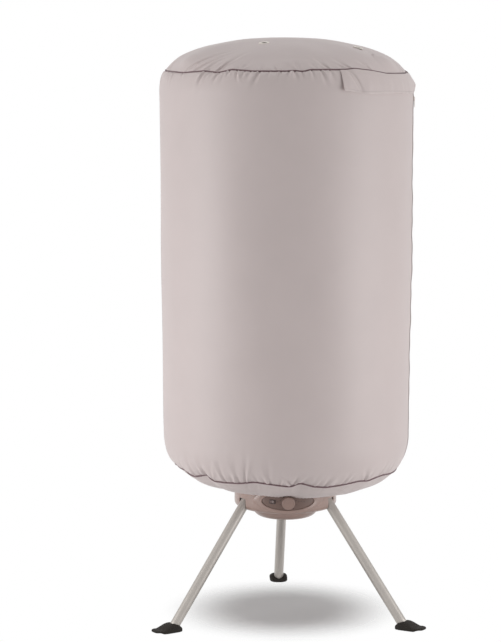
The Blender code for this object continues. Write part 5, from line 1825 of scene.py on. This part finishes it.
@dataclass(frozen=True)
class Legs:
    """Three folding tube legs with rubber feet."""

    splay: float = 35.74
    hinge_radius: float = 0.108
    hinge_height: float = 0.2967
    head: float = 0.011
    tube: float = 0.0119
    length: float = 0.3655
    tube_rings: int = 30
    tube_ends: Pair = (0.004, 0.0010)
    tube_sides: int = 48
    # how far inside the tube's radius, and how far along it from its upper end
    rolled_edge: tuple[Pair, ...] = ((0.0010, 0.0), (0.0003, 0.0003), (0.0, 0.0010))
    lower_edge: float = 0.0004
    tube_wall: float = 0.0013
    bore_from: float = 0.0008

    heel: float = 0.2985
    tip: float = REAR_TIP
    foot_height: float = 0.0200
    foot_half: float = 0.0225
    foot_sides: int = 56
    # share of the foot's length at which a stretch ends, and its number of rings
    foot_stretches: tuple[tuple[float, int], ...] = ((0.10, 10), (0.93, 50), (1.0, 8))
    foot_samples: int = 300
    foot_square: float = 0.75
    upper_square: float = 0.55
    lower_square: float = 0.28
    toe_from: float = 0.56
    toe_share: float = 0.30
    dome_rim: float = 0.006
    toe_rim: float = 0.0012
    rim_share: float = 0.6
    curl: float = 0.0008
    top_shares: tuple[Pair, ...] = (
        (0.0, 0.30), (0.02, 0.52), (0.08, 0.74), (0.16, 0.90), (0.26, 1.0), (0.36, 1.0),
        (0.46, 0.90), (0.56, 0.70), (0.64, 0.52), (0.70, 0.44), (0.76, 0.44), (0.84, 0.47),
        (0.92, 0.48), (0.97, 0.43), (1.0, 0.32))
    low_shares: tuple[Pair, ...] = (
        (0.0, 0.05), (0.02, 0.0), (0.30, 0.0), (0.66, 0.0), (0.72, 0.05), (0.78, 0.14),
        (0.86, 0.20), (0.94, 0.20), (1.0, 0.30))
    plan_shares: tuple[Pair, ...] = (
        (0.0, 0.55), (0.02, 0.74), (0.06, 0.88), (0.18, 1.0), (0.40, 1.0), (0.62, 1.0),
        (0.80, 0.90), (0.93, 0.62), (0.985, 0.34), (1.0, 0.20))
    bracket_bevel: float = 0.0003

    def tube_piece(self, side: str, azimuth: float) -> None:
        """One leg tube with a rolled edge at its upper end."""
        lean, turn = math.radians(self.splay), math.radians(azimuth)
        axis = np.array([math.sin(lean) * math.sin(turn), -math.sin(lean) * math.cos(turn),
                         -math.cos(lean)])
        start = on_axis(azimuth, self.hinge_radius, self.hinge_height) - axis * self.head
        rows = [(self.tube - inside, down) for inside, down in self.rolled_edge]
        first, last = self.tube_ends
        rows += [(self.tube, down)
                 for down in np.linspace(first, self.length - last, self.tube_rings)]
        bore = self.tube - self.tube_wall
        rows += [(self.tube - self.lower_edge, self.length), (bore, self.length),
                 (bore, self.bore_from)]
        item = lathe(f"leg_tube_skin_{side}", rows, self.tube_sides, start, axis)
        dress(item, Finish.TUBE, f"leg_{side}", "aluminium", f"leg_tube_{side}")

    def foot(self, side: str, azimuth: float) -> None:
        """One moulded rubber foot: a dome round the tube and a toe with a turned-up lip."""
        ends = [0.0, *(end for end, _ in self.foot_stretches)]
        share = np.concatenate([
            *(np.linspace(start, end, rings, endpoint=False)
              for start, (end, rings) in zip(ends, self.foot_stretches)), [1.0]])[:, None]
        top = np.interp(share, *through(self.top_shares, self.foot_samples).T)
        low = np.interp(share, *through(self.low_shares, self.foot_samples).T).clip(0)
        top, low = top * self.foot_height, low * self.foot_height
        half = np.interp(share, *np.array(self.plan_shares).T) * self.foot_half
        toe = np.clip((share - self.toe_from) / self.toe_share, 0, 1)
        slim = self.toe_rim + (self.dome_rim - self.toe_rim) * (1 - toe)
        rim = low + np.where(toe < 0.5, self.dome_rim, slim)
        rim = np.minimum(rim, low + (top - low) * self.rim_share)
        turn = full_turn(self.foot_sides)[None, :]
        upper = turn < math.pi
        square = np.where(upper, self.upper_square, self.lower_square)
        wide = signed_power(np.cos(turn), self.foot_square)
        height = rim + (np.where(upper, top, low) - rim) * np.abs(np.sin(turn)) ** square
        height = height + toe * self.curl * wide ** 2
        reach, aside = self.heel + (self.tip - self.heel) * share, wide * half
        line = math.radians(azimuth)
        points = on_axis(azimuth, reach, height)
        points = points + aside[..., None] * (math.cos(line), math.sin(line), 0.0)
        item = face_out(lattice(f"rubber_foot_{side}", points, ends=True))
        dress(item, Finish.RUBBER, f"leg_{side}", "rubber", f"foot_{side}")

    def build(self) -> None:
        """Build the three legs."""
        for side, azimuth in LEGS:
            self.tube_piece(side, azimuth)
            self.foot(side, azimuth)
            refinish(f"leg_bracket_{side}", Finish.STEEL, self.bracket_bevel)
            refinish(f"leg_pin_{side}", Finish.STEEL, self.bracket_bevel)


@dataclass(frozen=True)
class Inside:
    """Pole, hanger hub, arms, fan, heater and fittings: CAD solids with their finishes."""

    # node, finish and bevel in metres
    solids: tuple[tuple[str, Finish, float], ...] = (
        ("outlet_grille", Finish.DARK, 0.0003), ("intake_grille", Finish.DARK, 0.0003),
        ("timer_unit", Finish.DARK, 0.0006), ("motor_bracket", Finish.STEEL, 0.0003),
        ("fan_motor", Finish.STEEL, 0.0006), ("fan_impeller", Finish.DARK, 0.0002),
        ("heater_frame", Finish.BOARD, 0.0004), ("heater_element", Finish.FIN, 0.0),
        ("thermostat", Finish.STEEL, 0.0004), ("cord_gland", Finish.DARK, 0.0006),
        ("pole_socket", Finish.DARK, 0.0006), ("pole_lower", Finish.POLE, 0.0),
        ("pole_middle", Finish.POLE, 0.0), ("pole_upper", Finish.POLE, 0.0),
        ("pole_coupler_1", Finish.DARK, 0.0006), ("pole_coupler_2", Finish.DARK, 0.0006),
        ("arm_hub", Finish.HANGER, 0.0005), ("hub_cap", Finish.DARK, 0.0004),
        ("arm_hinge_ring", Finish.STEEL, 0.0))
    arms: int = 6
    arm_bevel: float = 0.0005

    def build(self) -> None:
        """Dress the solids that stay."""
        for node, finish, bevel in self.solids:
            refinish(node, finish, bevel)
        for number in range(1, self.arms + 1):
            refinish(f"hanger_arm_{number}", Finish.HANGER, self.arm_bevel)


@dataclass(frozen=True)
class Softbox:
    """One soft area lamp, with its size in metres and its power in watts."""

    name: str
    place: Triple
    aim: Triple
    size: Pair
    power: float

    def build(self) -> None:
        """Hang the lamp."""
        data = bpy.data.lights.new(self.name, "AREA")
        data.shape = "RECTANGLE"
        data.size, data.size_y = self.size
        data.energy = self.power
        item = bpy.data.objects.new(self.name, data)
        bpy.context.scene.collection.objects.link(item)
        item.location = self.place
        sight = Vector(self.aim) - Vector(self.place)
        item.rotation_euler = sight.to_track_quat("-Z", "Y").to_euler()


@dataclass(frozen=True)
class Studio:
    """White floor and backdrop, the floor with a painted shadow pool, soft lamps and the camera."""

    camera: PhotoCamera
    floor_size: float = 9.0
    floor_height: float = -0.0002
    floor_white: Four = (0.86, 0.86, 0.86, 1.0)
    backdrop: Four = (1.0, 1.0, 1.0, 1.0)
    world_level: float = 0.305
    # painted shadow: from 0.10 m to 0.31 m off the floor's middle the lit floor blends into pure
    # white for the camera and in reflections, a soft grey pool that stands in for shade
    fade: Pair = (0.10, 0.31)
    lamps: tuple[Softbox, ...] = (
        Softbox("left_softbox", (-2.45, -0.72, 0.58), (0.0, 0.0, 0.62), (1.6, 1.5), 34.0),
        Softbox("right_softbox", (2.30, -1.10, 0.58), (0.0, 0.0, 0.62), (1.6, 1.5), 30.0),
        Softbox("key_lamp", (-0.2, -0.90, 5.7), (0.0, -0.1, 0.3), (1.1, 1.1), 42.0),
        Softbox("overhead_softbox", (0.0, -0.4, 5.2), (0.0, 0.0, 0.6), (2.6, 2.6), 14.0))

    def floor(self) -> None:
        """The white floor, which keeps the object's shadow; near its middle the lit floor shows and
        it fades into pure white beyond, a painted shadow pool.
        """
        half = self.floor_size / 2
        corners = [[(x, y, self.floor_height) for x in (-half, half)] for y in (-half, half)]
        item = lattice("studio_floor", np.array(corners), closed=OPEN)
        tree = Tree.of_material("floor_white")
        away = tree.node("ShaderNodeVectorMath", {"operation": "LENGTH"}, {0: tree.place()},
                         "Value")
        fade = tree.node("ShaderNodeMapRange", {"interpolation_type": "SMOOTHSTEP"},
                         {"Value": away, "From Min": self.fade[0], "From Max": self.fade[1]})
        sight = tree.ray("Is Camera Ray").most(tree.ray("Is Glossy Ray"))
        matt = tree.node("ShaderNodeBsdfPrincipled", {},
                         {"Base Color": self.floor_white, "Roughness": 0.6,
                          "Specular IOR Level": 0.0})
        clear = tree.node("ShaderNodeBsdfTransparent", {}, {})
        # painted shadow: camera and reflections see the lit floor near the middle and pure white
        # farther out, a pool of shade that does not follow the lamps
        shader = tree.node("ShaderNodeMixShader", {}, {0: fade * sight, 1: matt, 2: clear})
        item.data.materials.append(tree.end(shader))
        item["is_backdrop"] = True

    def world(self) -> None:
        """Plain white light from all round, seen as white by the camera and in reflections."""
        world = bpy.data.worlds.new("studio_world")
        bpy.context.scene.world = world
        tree = Tree(world)
        seen = tree.ray("Is Camera Ray").most(tree.ray("Is Glossy Ray"))
        seen = seen.most(tree.ray("Is Transmission Ray"))
        level = tree.node("ShaderNodeMapRange", {},
                          {"Value": seen, "To Min": self.world_level, "To Max": 1.0})
        light = tree.node("ShaderNodeBackground", {}, {"Color": self.backdrop, "Strength": level})
        tree.add("ShaderNodeOutputWorld", {}, {"Surface": light})

    def build(self) -> None:
        """Set up the studio."""
        self.camera.build()
        self.floor()
        self.world()
        for lamp in self.lamps:
            lamp.build()
        bpy.context.scene.view_settings.view_transform = "Standard"
        log.info("studio: floor, world, %d lamps and camera", len(self.lamps))


def main() -> None:
    """Build the dryer and its studio."""
    logging.basicConfig(level=logging.INFO, format="%(message)s")
    camera = PhotoCamera()
    cover = Cover(camera)
    for part in (cover, Flap(cover), SideSeam(cover), Zip(cover), HeaterBase(), Legs(), Inside(),
                 Studio(camera)):
        part.build()
    boxes = {"cad": [list(c) for c in CAD_BOX], "visual": [list(c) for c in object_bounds()]}
    for axis, name in enumerate("xyz"):
        grown = [boxes["visual"][k][axis] - boxes["cad"][k][axis] for k in (0, 1)]
        log.info("%s: low %+.4f, high %+.4f m beside the CAD box", name, *grown)


if __name__ == "__main__":
    main()
